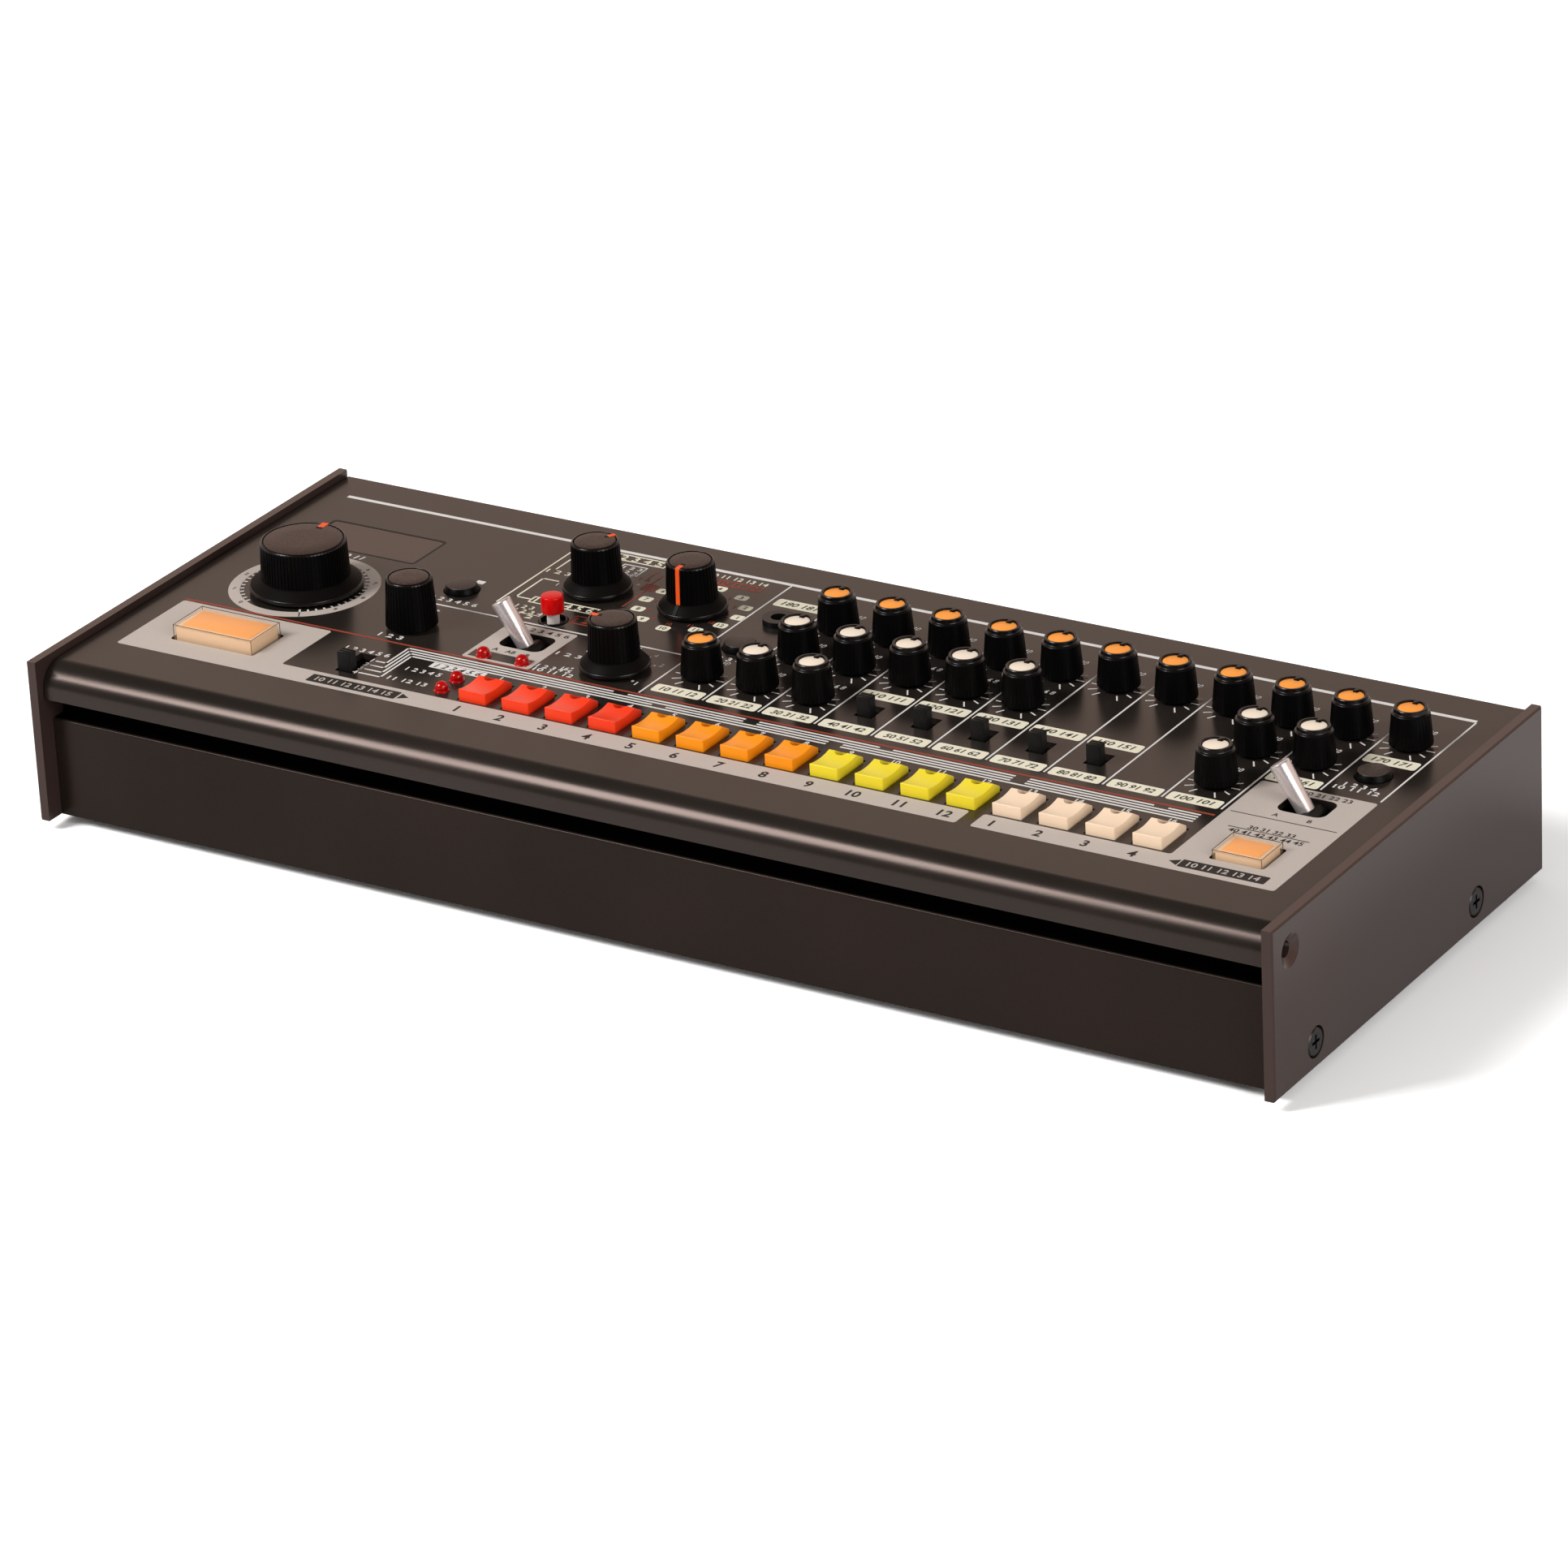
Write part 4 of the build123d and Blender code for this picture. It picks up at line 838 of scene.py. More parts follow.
def evaluated(bm, cutter):
    """The bmesh after a Boolean takes the cutter away."""
    objects = []
    for name, shape in (("blank", bm), ("cutter", cutter)):
        mesh = bpy.data.meshes.new(name)
        shape.to_mesh(mesh)
        objects.append(linked(name, mesh))
    blank, tool = objects
    cut = blank.modifiers.new("cut", "BOOLEAN")
    cut.operation = "DIFFERENCE"
    cut.solver = "EXACT"
    cut.object = tool
    depsgraph = bpy.context.evaluated_depsgraph_get()
    result = bmesh.new()
    result.from_object(blank, depsgraph)
    for obj in objects:
        bpy.data.meshes.remove(obj.data)
    return result


def drawn_out(bm, vec):
    """Extrude a flat shape along a vector into a closed solid."""
    grown = bmesh.ops.extrude_face_region(bm, geom=bm.faces[:])
    moved = [v for v in grown["geom"] if isinstance(v, bmesh.types.BMVert)]
    bmesh.ops.translate(bm, verts=moved, vec=vec)
    bmesh.ops.recalc_face_normals(bm, faces=bm.faces)


def key_blank():
    """Block with a hollow top and a sloping rear edge."""
    start, end = -key_length / 2, key_length / 2
    crest = end - key_rear_slope
    hollow_steps = 10
    bm = bmesh.new()
    side = [(start, key_root), (start, key_height)]
    for i in range(1, hollow_steps):
        share = i / hollow_steps
        dip = key_dish * 4 * share * (1 - share)
        side.append((start + share * (crest - start), key_height - dip))
    side += [(crest, key_height), (end, key_rear_height), (end, key_root)]
    bm.faces.new([bm.verts.new((-key_width / 2, y, z)) for y, z in side])
    drawn_out(bm, (key_width, 0, 0))
    hard = [e for e in bm.edges if e.calc_face_angle(0) > radians(15)]
    rounded(hard, bm, key_round, 3)
    return bm


crest_y = key_length / 2 - key_rear_slope + lamp_setback
notch = bmesh.new()
bmesh.ops.create_cone(
    notch, cap_ends=True, segments=40, radius1=notch_radius, radius2=notch_radius,
    depth=20, matrix=shift(notch_shift, crest_y, 0))
key_shape = evaluated(key_blank(), notch)
key_lamp = turned([
    (0, 1.7), (0.45, 1.6), (0.8, 1.35), (1.0, 1.0), (1.08, 0.6), (1.1, 0), (1.1, -3),
    (0, -3),
], 32)

banks = {
    "step_keys_1_4": (key_red, "red_key"), "step_keys_5_8": (key_orange, "orange_key"),
    "step_keys_9_12": (key_yellow, "yellow_key"),
    "step_keys_13_16": (key_cream, "cream_key"),
}
key_spots = []
for bank, (finish, slot) in banks.items():
    low, high = box_mm(bank)
    first = low.x + key_flange + key_width / 2
    last = high.x - key_flange - key_width / 2
    for i in range(4):
        key_spots.append((bank, first + (last - first) * i / 3, (low.y + high.y) / 2))
for number, (bank, x, y) in enumerate(key_spots, 1):
    finish, slot = banks[bank]
    name = "step_key_" + str(number)
    key = piece(key_shape, name, finish, bank, slot, shift(x, y, panel_top), 40)
    if number % 4 == 1:
        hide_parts(bank)
    piece(key_lamp, name + "_lamp", lamp_brown, "case", "red_lens",
          shift(x + notch_shift, y + crest_y, panel_top))
print(len(key_spots), "keys and their lamps")

# %% [markdown]
# ## Lit buttons
# The two large buttons are a translucent cream block with an amber plate on it, under
# a clear cover. Along its edges the cover is thick enough to look brown, so a thin
# frame stands for them: the wireframe operator turns the edges of a box into bars.

# %% Start and tap buttons
def open_box(width, depth, low, high, offset):
    """Box without a bottom, its upper and upright edges rounded."""
    bm = block(width, depth, low, high)
    bottom = [f for f in bm.faces if f.normal.z < -0.5]
    bmesh.ops.delete(bm, geom=bottom, context="FACES_ONLY")
    rounded([e for e in bm.edges if not e.is_boundary], bm, offset, 3)
    return bm


lit_flange = 0.8
lit_root = -1.7
for node in ("start_button", "tap_button"):
    low, high = box_mm(node)
    height = height_of(node)
    width = high.x - low.x - 2 * lit_flange
    depth = high.y - low.y - 2 * lit_flange
    core = block(width - 0.9, depth - 0.9, lit_root, height - 0.5, 0.25)
    amber = block(width - 2.9, depth - 2.9, height - 0.6, height - 0.36, 0.1)
    cover = open_box(width - 0.1, depth - 0.1, lit_root, height - 0.06, 0.2)
    bmesh.ops.solidify(cover, geom=cover.faces[:], thickness=0.25)
    bmesh.ops.recalc_face_normals(cover, faces=cover.faces)
    edge_bars = block(width - 0.2, depth - 0.2, lit_root + 0.1, height - 0.1)
    bmesh.ops.wireframe(
        edge_bars, faces=edge_bars.faces[:], thickness=0.2, use_replace=True,
        use_even_offset=True)
    worn(node, "cream_button", over(node), ("core", core, button_cream),
         ("plate", amber, button_amber), ("cover", cover, cover_clear, 50),
         ("edges", edge_bars, cover_edge))
print("lit buttons")

# %% [markdown]
# ## Small buttons
# Three rubber buttons have a sloping black wall and a flat, rough top. The clear
# button is a red cap that stands up on a thin white stem in a collar, so that nobody
# presses it by mistake. All of them are turned shapes.

# %% Rubber buttons and the clear button
button_wall = turned([
    (0, -1.5), (4.0, -1.5), (4.0, 0.1), (3.95, 0.3), (3.52, 1.28), (3.42, 1.42), (0, 1.42),
])
button_top = turned([
    (0, 1.3), (3.40, 1.3), (3.39, 1.46), (3.31, 1.56), (3.15, 1.6), (0, 1.6),
])
for node in ("shuffle_button", "function_button", "menu_button"):
    worn(node, "button_rubber", over(node), ("wall", button_wall, knob_black),
         ("top", button_top, button_rubber))

clear_place = over("clear_button")
red_cap = turned([
    (0, 2.2), (2.4, 2.2), (2.52, 2.25), (2.55, 2.37), (2.55, 4.4), (2.5, 5.75),
    (2.45, 5.95), (2.33, 6.06), (2.15, 6.1), (0, 6.1),
])
clear_stem = turned([(0, -4.0), (1.43, -4.0), (1.43, 2.25), (0, 2.25)], 40)
worn("clear_button", "red_key", clear_place, ("cap", red_cap, clear_red))
worn("clear_button", "cream_button", clear_place, ("stem", clear_stem, stem_white))
collar = turned([
    (2.8, -0.3), (3.3, -0.3), (3.3, 0.12), (3.22, 0.22), (2.95, 0.26), (2.8, 0.18),
    (2.8, -0.3),
])
piece(collar, "clear_button_collar", rim_satin, "case", "button_rubber", clear_place)
print("small buttons")

# %% [markdown]
# ## Toggles
# A toggle is a bright rod that widens towards its cut end, standing in a black hub
# that rolls in its slot. The pivot lies below the panel, so both parts are turned
# upright round the pivot and then leaned over together.

# %% Two toggles
pivot_depth = 3.0
lean_angle = 32.0
hub_radius = 2.5
handle_rod = turned([
    (0, 2.0), (1.78, 2.0), (1.9, 2.08), (1.95, 2.25), (2.28, 13.3), (2.26, 13.55),
    (2.17, 13.72), (2.01, 13.8), (0, 13.8),
], 72)
neck = turned([(0, 0), (1.4, 0), (1.4, 2.5), (0, 2.5)], 40)
hub = turned([
    (0, -3.4), (hub_radius - 0.15, -3.4), (hub_radius, -3.25), (hub_radius, 3.25),
    (hub_radius - 0.15, 3.4), (0, 3.4)], 48)
hub.transform(turn(90, "X"))
added(neck, hub)
pivots = {}
for node in ("variation_toggle", "intro_toggle"):
    # At rest the handle leans left, so the hub is the part that reaches furthest right.
    low, high = box_mm(node)
    x, y = high.x - hub_radius, (low.y + high.y) / 2
    pivots[node] = (x, y - front_y)
    place = shift(x, y, panel_top - pivot_depth) @ turn(-lean_angle, "Y")
    worn(node, "bright_metal", place, ("handle", handle_rod, toggle_metal))
    worn(node, "switch_plastic", place, ("hub", neck, switch_black))
print("toggles")

# %% [markdown]
# ## Slide switches
# Each lever is a small post with softened edges and shallow grooves across its top,
# where a fingertip holds it. The grooves are pressed in: the top is cut into strips
# with bisecting planes, and every second strip is inset downwards.

# %% Levers
def grooved_lever(width, length, low, high):
    """Post with softened edges and cross grooves on its end."""
    bm = block(width, length, low, high, 0.22, 2)
    cuts = 5
    for i in range(1, cuts):
        y = length * (i / cuts - 0.5) * 0.8
        bmesh.ops.bisect_plane(
            bm, geom=bm.verts[:] + bm.edges[:] + bm.faces[:], plane_co=(0, y, 0),
            plane_no=(0, 1, 0))
    top = [f for f in bm.faces
           if f.normal.z > 0.99 and f.calc_center_median().z > high - 0.1]
    top.sort(key=lambda face: face.calc_center_median().y)
    bmesh.ops.inset_individual(bm, faces=top[1::2], thickness=0.05, depth=-0.18)
    return bm


lever_post = grooved_lever(3.2, 2.8, -3.0, 4.38)
for node in ("low_tom_switch", "mid_tom_switch", "high_tom_switch", "rim_shot_switch",
             "hand_clap_switch", "prescale_switch"):
    worn(node, "switch_plastic", over(node), ("lever", lever_post, switch_black))

low, high = box_mm("power_switch")
power_post = grooved_lever(high.x - low.x, high.z - low.z, -2.5, high.y - rear_y - 0.02)
worn("power_switch", "switch_plastic", behind("power_switch"),
     ("lever", power_post, switch_black))
print("levers")

# %% [markdown]
# ## Lamps
# Four red lamps stand in the panel, each a dome with a low collar. Dome, waist and
# collar are one moulding on a real lens, so one profile is turned for all of them and
# its foot is sunk into the hole.

# %% Four tall lamps
tall_lamp = turned([
    (0, 2.2), (0.42, 2.14), (0.8, 1.98), (1.12, 1.72), (1.36, 1.36), (1.47, 0.98),
    (1.46, 0.66), (1.38, 0.42), (1.40, 0.32), (1.74, 0.28), (1.8, 0.2), (1.8, 0.01),
    (1.5, 0.01), (1.5, -2.0), (0, -2.0),
], 40)
lamp_spots = [(-66.4, 49.0), (-56.3, 49.0), (-64.4, 29.6), (-64.4, 35.5)]
for number, (x, back) in enumerate(lamp_spots, 1):
    lamp = piece(tall_lamp, "tall_lamp_" + str(number), lamp_red, "case", "red_lens",
                 shift(x, front_y + back, panel_top), 60)
    if number == 1:
        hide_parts("indicator_lamps")
print("lamps")

# %% [markdown]
# ## Screen printing
# A print is a stencil: ink passes through open areas and leaves a film. Each mark is
# therefore a very thin closed solid, gathered by ink, so that all white marks become
# one piece, all red ones another. Marks on top of the pale plates get a second film.
# Distances on the panel are counted from the machine's left-right middle and from its
# front edge.

# %% Printing tools
film = 0.035
film_root = 0.02
inks = {
    "white": (ink_white, bmesh.new()), "silver": (ink_silver, bmesh.new()),
    "cream": (ink_cream, bmesh.new()), "red": (ink_red, bmesh.new()),
    "dark": (ink_dark, bmesh.new()),
}


def stamped(shape, ink_name, level=1):
    """Give a flat shape its film and add it to the marks of one ink."""
    drawn_out(shape, (0, 0, film * level + film_root))
    added(inks[ink_name][1], shape, shift(0, front_y, panel_top - film_root))
    shape.free()


def cornered(shape, corner):
    """Round the corners of a flat shape."""
    bmesh.ops.bevel(
        shape, geom=shape.verts[:], offset=corner, offset_type="OFFSET",
        affect="VERTICES", segments=4, profile=0.5, material=-1)
    return shape


def oblong(place, width, depth):
    """Flat rectangle at a place."""
    shape = bmesh.new()
    bmesh.ops.create_grid(
        shape, x_segments=1, y_segments=1, size=0.5,
        matrix=place @ Matrix.Diagonal((width, depth, 1, 1)))
    return shape


def field(x_range, y_range, corner=0.0):
    """Flat rectangle between two pairs of edges, with round corners."""
    shape = oblong(shift(sum(x_range) / 2, sum(y_range) / 2, 0),
                   x_range[1] - x_range[0], y_range[1] - y_range[0])
    return cornered(shape, corner) if corner else shape


def span(middle, width):
    """Both ends of a width about its middle."""
    return middle - width / 2, middle + width / 2


def plate(corner, *points):
    """Flat shape drawn through its corners, which are then rounded."""
    shape = bmesh.new()
    shape.faces.new([shape.verts.new((x, y, 0)) for x, y in points])
    return cornered(shape, corner)


def disc(x, y, radius, steps, heading=0.0):
    """Flat disc, or a triangle when it has three steps."""
    shape = bmesh.new()
    bmesh.ops.create_circle(
        shape, cap_ends=True, segments=steps, radius=radius,
        matrix=shift(x, y, 0) @ turn(heading, "Z"))
    return shape


def opened(shape, *holes):
    """A flat shape with holes in it."""
    for hole in holes:
        added(shape, hole)
    bmesh.ops.delete(shape, geom=shape.faces[:], context="FACES_ONLY")
    bmesh.ops.triangle_fill(shape, use_beauty=True, edges=shape.edges[:])
    return shape


def line(start, end, width, ink_name="white", level=1):
    """Straight line between two points of the panel."""
    run = Vector(end) - Vector(start)
    middle = (Vector(start) + Vector(end)) / 2
    place = shift(*middle, 0) @ Matrix.Rotation(atan2(run.y, run.x), 4, "Z")
    stamped(oblong(place, run.length + width, width), ink_name, level)


def path_line(points, width, ink_name="white"):
    """Line with corners."""
    for start, end in zip(points, points[1:]):
        line(start, end, width, ink_name)


def outline_box(x_range, y_range, width, ink_name, corner=0.3):
    """Empty box drawn with a line."""
    inner_x = (x_range[0] + width, x_range[1] - width)
    inner_y = (y_range[0] + width, y_range[1] - width)
    stamped(opened(field(x_range, y_range, corner), field(inner_x, inner_y, corner / 2)),
            ink_name)


def figure(text, x, y, height, ink_name="white", level=1, width=0.0, slant=0.0,
           weight=0.012):
    """Numbers or marks, centred on a point. Height is that of a numeral."""
    curve = bpy.data.curves.new("figure", "FONT")
    curve.body = text
    curve.align_x = "CENTER"
    curve.align_y = "CENTER"
    curve.offset = weight
    curve.shear = slant
    curve.resolution_u = 3
    holder = bpy.data.objects.new("figure", curve)
    mesh = bpy.data.meshes.new_from_object(holder)
    shape = bmesh.new()
    shape.from_mesh(mesh)
    bmesh.ops.remove_doubles(shape, verts=shape.verts, dist=0.0005)
    low = Vector([min(v.co[i] for v in shape.verts) for i in range(2)])
    high = Vector([max(v.co[i] for v in shape.verts) for i in range(2)])
    tall = height / (high.y - low.y)
    wide = width / (high.x - low.x) if width else tall
    middle = (low + high) / 2
    shape.transform(shift(x, y, 0) @ Matrix.Diagonal((wide, tall, 1, 1))
                    @ shift(-middle.x, -middle.y, 0))
    stamped(shape, ink_name, level)
    bpy.data.objects.remove(holder)
    bpy.data.curves.remove(curve)
    bpy.data.meshes.remove(mesh)


def number_row(first, x_range, y, height, ink_name="white", level=1, slant=0.0):
    """Plain numbers, counted up from the first until they fill a width."""
    width = x_range[1] - x_range[0]
    places = round(width / (height * 0.62))
    number, text = first, str(first)
    while len(text) + 1 + len(str(number + 1)) <= places:
        number += 1
        text += " " + str(number)
    figure(text, sum(x_range) / 2, y, height, ink_name, level, width, slant)


print(len(inks), "inks")

# %% [markdown]
# ### Frames and columns
# The long rules divide the panel: one thick line along the rear, a thin line between
# the voice columns, a red line in front of them, and a cream box that names each
# column. The boxes carry plain numbers.

# %% Long rules and column boxes
rule_pitch = 14.03
first_rule = -24.6
rule_count = 13
box_width, box_depth, box_text = 12.4, 3.8, 9.0


def column(k):
    """Middle of a column between two rules."""
    return first_rule + (k + 0.5) * rule_pitch


line((-143.9, 111.0), (143.1, 111.0), 1.1)
for k in range(rule_count):
    x = first_rule + k * rule_pitch - (0.5 if k == 0 else 0)
    near = 47.3 if k == 0 else 49.8 if k < 11 else 67.0
    line((x, near), (x, 110.2), 0.42)
line((-143.8, 46.45), (115.6, 46.45), 0.6, "red")
line((-91.8, 68.1), (-25.3, 68.1), 0.5)

box_number = 0
for back, columns in ((51.1, range(10)), (68.0, (3, 4, 5, 6, 7)), (68.4, (10,)),
                      (85.25, (11,)), (101.6, (0,))):
    for k in columns:
        x = column(k)
        stamped(field(span(x, box_width), span(back, box_depth), 0.7), "cream")
        box_number += 1
        number_row(10 * box_number, span(x, box_text), back, 1.9, "dark", 2, 0.2)
print(box_number, "column boxes")

# %% [markdown]
# ### Knob scales
# Every small knob has eleven ticks from seven to five o'clock, the last one longer, and
# its range behind it. The stencil lies a little left and in front of the shafts, as
# prints on real panels often do. Level knobs have a red tick for their usual setting.

# %% Ticks round the small knobs
tick_count = 11
stencil_shift = Vector((-0.2, -0.7))
tick_from, tick_to, last_tick_to, tick_width = 4.3, 5.95, 6.4, 0.34


def clock(degrees):
    """Direction on the panel, clockwise from the rear."""
    return Vector((sin(radians(degrees)), cos(radians(degrees))))


def printed(node):
    """Middle of a node, counted as the print is."""
    spot = middle_of(node)
    return Vector((spot.x, spot.y - front_y))


for node in sorted(cap_colour):
    spot = printed(node)
    middle = spot + stencil_shift
    for i in range(tick_count):
        way = clock(-150 + 300 * i / (tick_count - 1))
        reach = last_tick_to if i == tick_count - 1 else tick_to
        line(middle + way * tick_from, middle + way * reach, tick_width)
    if cap_colour[node] == orange_cap:
        line(middle + clock(73) * 5.6, middle + clock(73) * 6.1, tick_width, "red")
    long_range = "tuning" in node or "snappy" in node
    figure("0 2 4 6 8" if long_range else "0 5 10", spot.x - 0.45, spot.y + 7.9, 1.7,
           width=7.4 if long_range else 5.0, slant=0.2)
print(tick_count * len(cap_colour), "ticks")

# %% [markdown]
# ### Tempo dial
# The tempo knob turns inside a pale ring with small numbers. Short dashes stand inside
# the ring, four for each number.

# %% Ring, dashes and numbers round the tempo knob
tempo = printed("tempo_knob") + Vector((-0.9, 0.5))
stamped(opened(disc(*tempo, 17.1, 128), disc(*tempo, 14.5, 128)), "silver")
for i in range(41):
    way = clock(-150 + 7.5 * i)
    line(tempo + way * (13.3 if i == 40 else 13.75), tempo + way * 14.2, 0.45)
line(tempo + way * 14.8, tempo + way * 16.9, 0.25, "dark", 2)
for i in range(10):
    figure(str(i), *(tempo + clock(-150 + 30 * i) * 15.75), 1.2, "dark", 2)
number_row(10, (-127.0, -120.7), 82.4, 1.8, slant=0.2)
print("tempo dial")

# %% [markdown]
# ### Plates and number strips
# Pale plates lie under the lit buttons and the toggles, and a pale strip with the
# step numbers runs along the keys. A plate is open where the panel is, so its film
# never bridges a hole.

# %% Plates and strips
slot_width = 11.0
slot_depth = 8.0
slot_corner = 2.0
slot_shift = -0.9
slot_margin = 0.15
hole_margin = 0.62


def hole_of(node):
    """Opening round a lit button, from its box."""
    low, high = box_mm(node)
    margin = hole_margin - lit_flange
    return field((low.x - margin, high.x + margin),
                 (low.y - margin - front_y, high.y + margin - front_y), 0.8)


def slot_of(node):
    """Opening round the slot of a toggle."""
    x, back = pivots[node]
    return field(span(x + slot_shift, slot_width + 2 * slot_margin),
                 span(back, slot_depth + 2 * slot_margin), slot_corner + slot_margin)


stamped(opened(
    plate(0.7, (-144.0, 19.9), (69.3, 19.9), (69.3, 26.2), (-104.1, 26.2),
          (-104.1, 45.6), (-144.0, 45.6)), hole_of("start_button")), "silver")
stamped(opened(
    plate(0.7, (72.8, 19.9), (143.8, 19.9), (143.8, 65.7), (116.7, 65.7),
          (116.7, 26.2), (72.8, 26.2)),
    hole_of("tap_button"), slot_of("intro_toggle")), "silver")
stamped(opened(
    field((-70.9, -53.4), (46.9, 67.1), 0.7), slot_of("variation_toggle"),
    field((-69.9, -54.6), (47.8, 51.4))), "silver")

step_first, step_pitch = -56.1, 11.04
for i in range(16):
    x = step_first + step_pitch * i
    figure(str(i + 1 if i < 12 else i - 11), x, 22.9, 2.8, "dark", 2, weight=0.022)
    figure(str(i + 1), x, 40.3, 1.7)

for x_range, y_range in (((-94.5, -71.5), (21.2, 24.8)), ((120.4, 140.4), (21.7, 25.1))):
    stamped(field(x_range, y_range, 0.3), "dark", 2)
    number_row(10, (x_range[0] + 1.7, x_range[1] - 1.7), sum(y_range) / 2, 1.9,
               "silver", 3)
for x, y, heading in ((-70.2, 23.05, -90), (119.3, 23.35, 90)):
    stamped(disc(x, y, 1.5, 3, heading), "dark", 2)
line((117.9, 49.8), (142.3, 49.8), 0.25, "dark", 2)
line((120.9, 43.2), (139.5, 43.2), 0.25, "dark", 2)
for text, x, y in (("A", 127.1, 52.0), ("B", 135.0, 52.0), ("A", -65.9, 53.1),
                   ("AB", -62.0, 53.1), ("B", -57.7, 53.1)):
    figure(text, x, y, 1.4, "dark", 2)
for first, x_range, y in ((20, (127.1, 138.6), 64.1), (30, (124.9, 135.7), 44.4),
                          (40, (121.7, 138.9), 41.8), (1, (-66.5, -54.6), 65.3)):
    number_row(first, x_range, y, 1.6, "dark", 2)
print("plates and strips")

# %% [markdown]
# ### Scale lines
# Four thin lines lead from the prescale switch to the keys, each from its own
# position of the lever. Short gaps in them mark where each scale begins again.

# %% Lines behind the keys
scale_lines = [
    (45.25, -83.5, 36.4, [-30.4, -26.7, 3.1, 6.5, 36.3, 39.6, 69.3, 72.8, 102.3, 105.7]),
    (44.1, -82.5, 34.1, [3.1, 6.5, 69.3, 72.8]),
    (43.0, -81.5, 31.9, [-19.2, -15.7, 25.0, 28.6, 69.3, 72.8]),
    (41.85, -80.5, 29.7, [25.0, 28.6]),
]
scale_width = 0.52
for number, (back, bend, stub, gaps) in enumerate(scale_lines, 1):
    stops = [bend] + gaps + [113.3]
    for start, end in zip(stops[::2], stops[1::2]):
        trim = scale_width / 2
        from_x = start if start == bend else start + trim
        line((from_x, back), (end - trim, back), scale_width)
    path_line([(bend, back), (bend, stub), (-86.0, stub)], 0.45)
    figure(str(number), -87.1, stub, 1.6)
stamped(field((-74.1, -60.2), (38.8, 41.4), 0.2), "white")
number_row(1, (-73.0, -61.2), 40.1, 1.8, "dark", 2, 0.2)
print(len(scale_lines), "scale lines")

# %% [markdown]
# ### Marks of the left half
# Cream brackets tie the mode selector to the steps it works on, and red marks belong
# to the accent. They are strokes and empty boxes, and a box is a field with a smaller
# one taken out of it, so that its corners close. One more dark box round the window is
# painted shade for the groove of its seam.

# %% Brackets, boxes and the painted shade round the window
# Painted shade: a dark box printed just inside the window's edge stands for the shadow in
# its seam.
low, high = box_mm("display_window")
outline_box((low.x + 1.0, high.x - 1.4),
            (low.y + 1.4 - front_y, high.y - 1.0 - front_y), 0.5, "dark", 1.0)
line((-80.1, 75.2), (-80.1, 105.8), 0.42, "cream")
path_line([(-73.5, 102.4), (-77.9, 102.4), (-77.9, 96.2)], 0.42, "cream")
path_line([(-73.8, 90.4), (-77.7, 90.4), (-77.7, 79.4), (-74.2, 79.4)], 0.42, "cream")
outline_box((-73.9, -56.5), (77.9, 81.2), 0.4, "cream")
outline_box((-72.0, -56.2), (106.5, 109.8), 0.4, "cream")
outline_box((-65.6, -59.3), (100.0, 105.2), 0.35, "white")
outline_box((-42.2, -29.7), (104.1, 106.8), 0.35, "red")
outline_box((-59.7, -54.4), (72.2, 76.2), 0.35, "red")
outline_box((-55.1, -51.6), (94.5, 97.9), 0.35, "red")
line((-56.3, 100.5), (-56.3, 105.2), 0.35, "red")
line((-54.0, 98.2), (-54.0, 102.8), 0.35, "red")
line((-53.2, 84.8), (-53.2, 94.2), 0.35, "red")
print("brackets, boxes and seam")

# %% [markdown]
# ### Rows of numbers
# Rows of plain numbers take the place of words beside the controls, with about the
# same height and length. A table gives the first number, both ends, the place and the
# height of each row, and a loop prints them ink by ink.

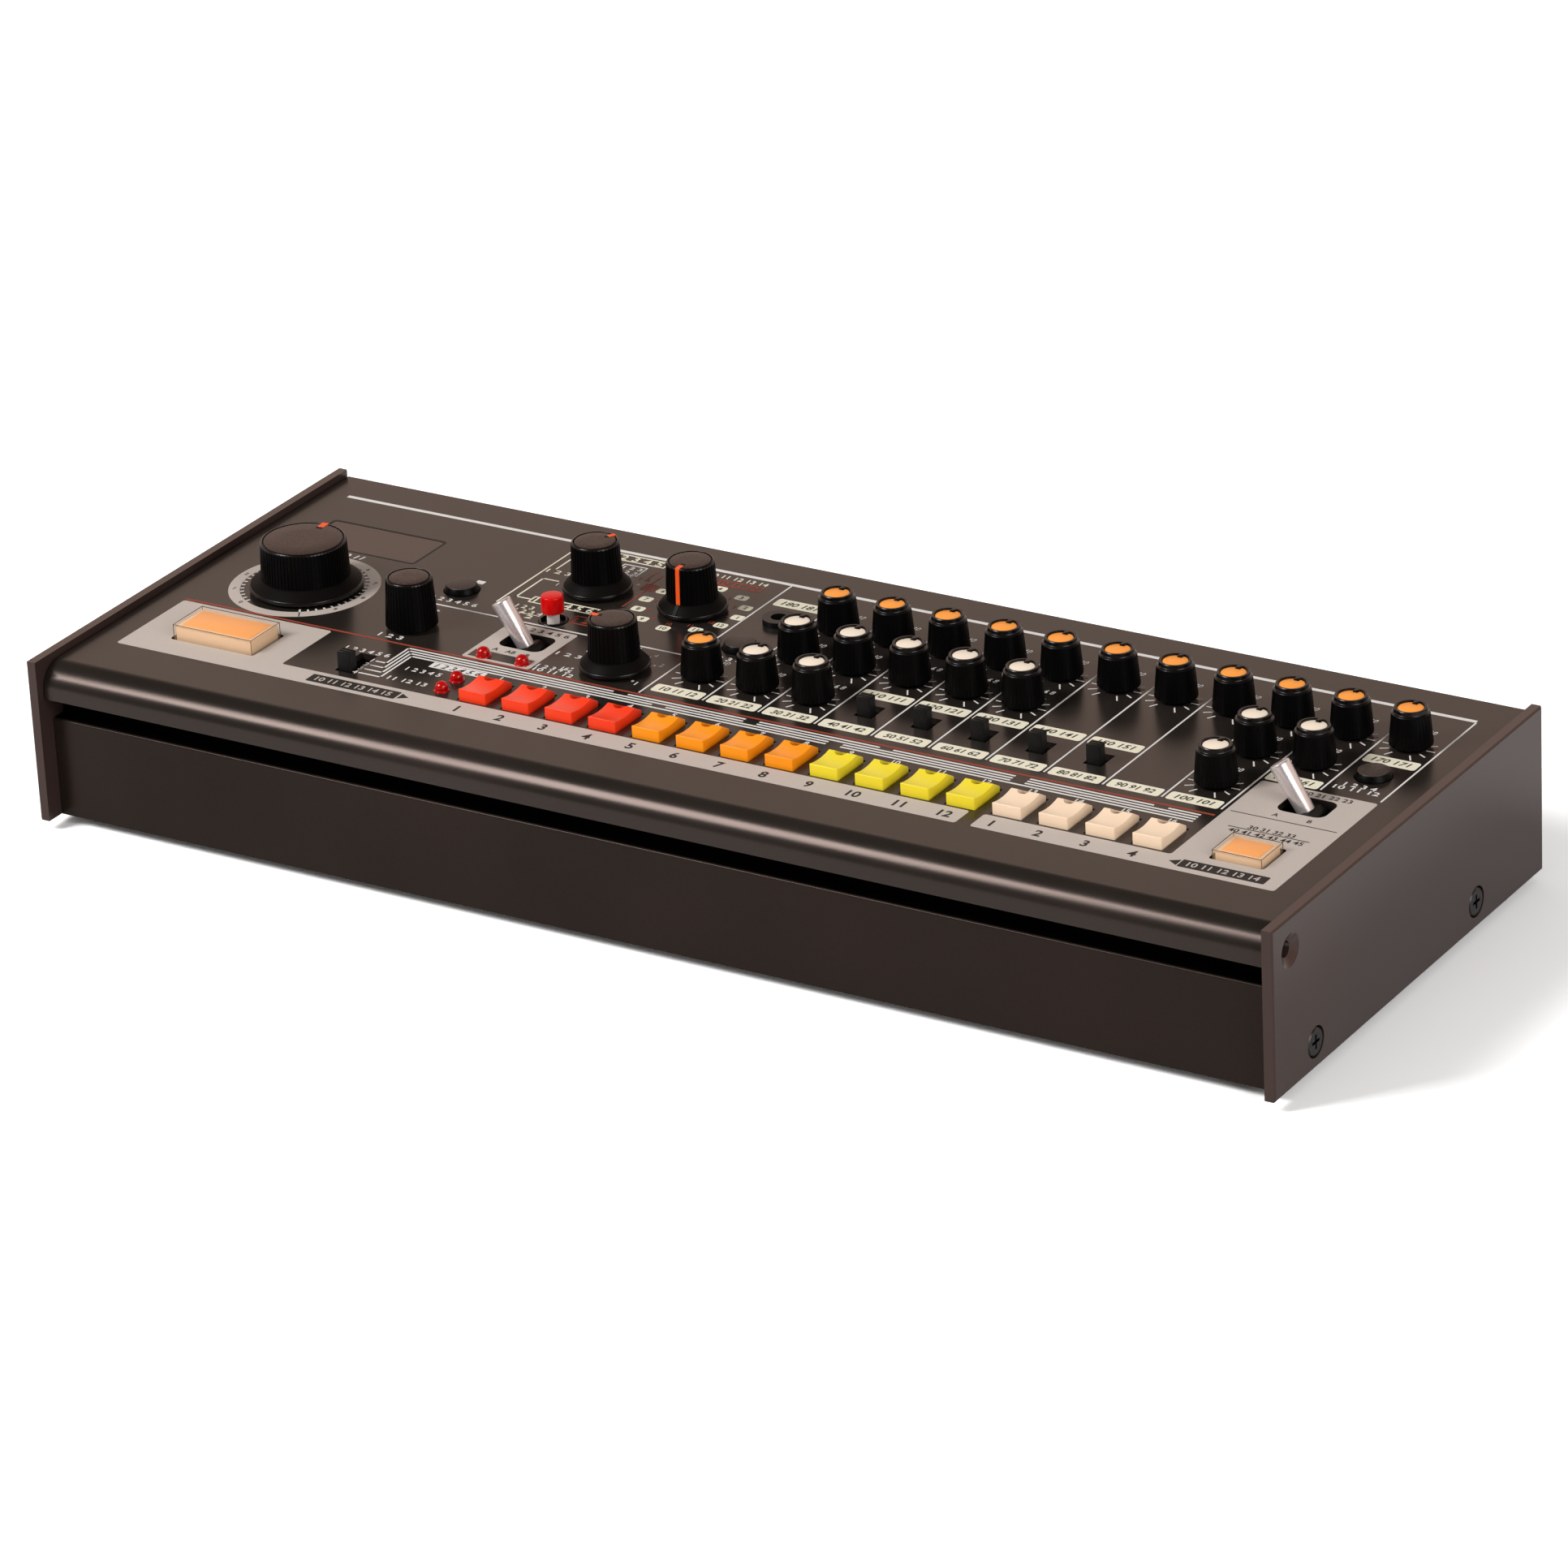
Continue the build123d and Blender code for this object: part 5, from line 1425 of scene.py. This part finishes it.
# %% Rows of plain numbers
rows = {
    "cream": [
        (1, (-72.8, -57.6), 79.55, 2.2), (1, (-70.8, -57.4), 108.15, 2.2),
        (1, (-79.4, -73.2), 94.7, 1.7), (10, (-45.0, -30.0), 108.4, 1.7),
        (1, (-75.0, -70.4), 75.3, 1.6), (1, (-74.0, -66.8), 73.2, 1.6),
        (1, (-72.2, -68.0), 71.0, 1.6),
    ],
    "white": [
        (1, (-64.8, -60.0), 103.6, 1.4), (1, (-64.8, -60.0), 101.4, 1.4),
        (1, (-90.3, -88.2), 82.4, 1.7), (1, (-94.5, -82.7), 71.1, 1.7),
        (1, (-93.9, -87.7), 49.1, 1.8), (1, (-96.4, -84.9), 39.9, 1.7),
        (1, (-77.9, -68.9), 36.1, 1.7), (11, (-78.9, -68.9), 30.4, 1.7),
        (1, (-52.7, -46.4), 57.3, 1.6), (1, (-52.9, -44.3), 49.8, 1.6),
        (10, (-52.7, -42.6), 48.0, 1.6), (1, (132.8, 140.3), 71.7, 1.7),
        (10, (131.3, 141.9), 69.8, 1.7), (1, (-21.5, -13.5), 70.3, 1.7),
    ],
    "red": [
        (10, (-41.0, -31.0), 105.45, 1.9), (1, (-58.9, -55.2), 74.2, 2.2),
        (1, (-54.5, -52.2), 96.2, 2.0), (1, (-58.0, -55.4), 99.6, 1.2),
    ],
}
for ink_name, places in rows.items():
    for first, x_range, y, height in places:
        number_row(first, x_range, y, height, ink_name)
stamped(disc(-89.1, 65.1, 0.45, 16), "white")
line((-74.0, 72.2), (-67.0, 72.2), 0.25, "cream")
print(sum(len(places) for places in rows.values()), "rows")

# %% [markdown]
# ### Scales of the selectors
# Twelve small boxes stand round the instrument selector, with a red number for each
# inside them. The fill-in selector has a number and a dot at seven stops, and the mode
# selector six cream numbers. All their places are worked out from angles about a shaft.

# %% Scales of the selectors
dial = Vector((-38.7, 90.4))
angles = (0, 26, 54, 90, 126, 154, 180, 206, 234, 270, 306, 334)
for number, degrees in enumerate(angles, 1):
    x, y = dial + clock(90 - degrees) * 11.9
    stamped(field(span(x, 3.2), span(y, 2.5), 0.75), "cream")
    figure(str(number), x, y, 1.4, "dark", 2)
    figure(str(number), *(dial + clock(120 - 30 * number) * 9.4), 1.2, "red")

dial = Vector((-37.3, 56.1))
for degrees, label in ((-120, "16"), (-60, "12"), (-30, "8"), (0, "6"), (30, "4"),
                       (60, "2"), (120, "1")):
    figure(label, *(dial + clock(degrees) * 10.5), 1.6)
    stamped(disc(*(dial + clock(degrees) * 8.9), 0.35, 12), "white")
dial = Vector((-63.7, 90.5))
for i in range(6):
    figure(str(i + 1), *(dial + clock(30 * i - 100) * 9.4), 1.3, "cream")
print("three selector scales")

# %% [markdown]
# ### Press the inks
# The marks of each ink now become one piece that rides on the case. One piece for
# every mark would look the same, but would fill the scene with hundreds of objects.

# %% Press the inks
for ink_name, (finish, shapes) in inks.items():
    piece(shapes, "print_" + ink_name, finish, "case", "panel_paint", None, 20)
    print("print_" + ink_name, len(shapes.faces), "faces")
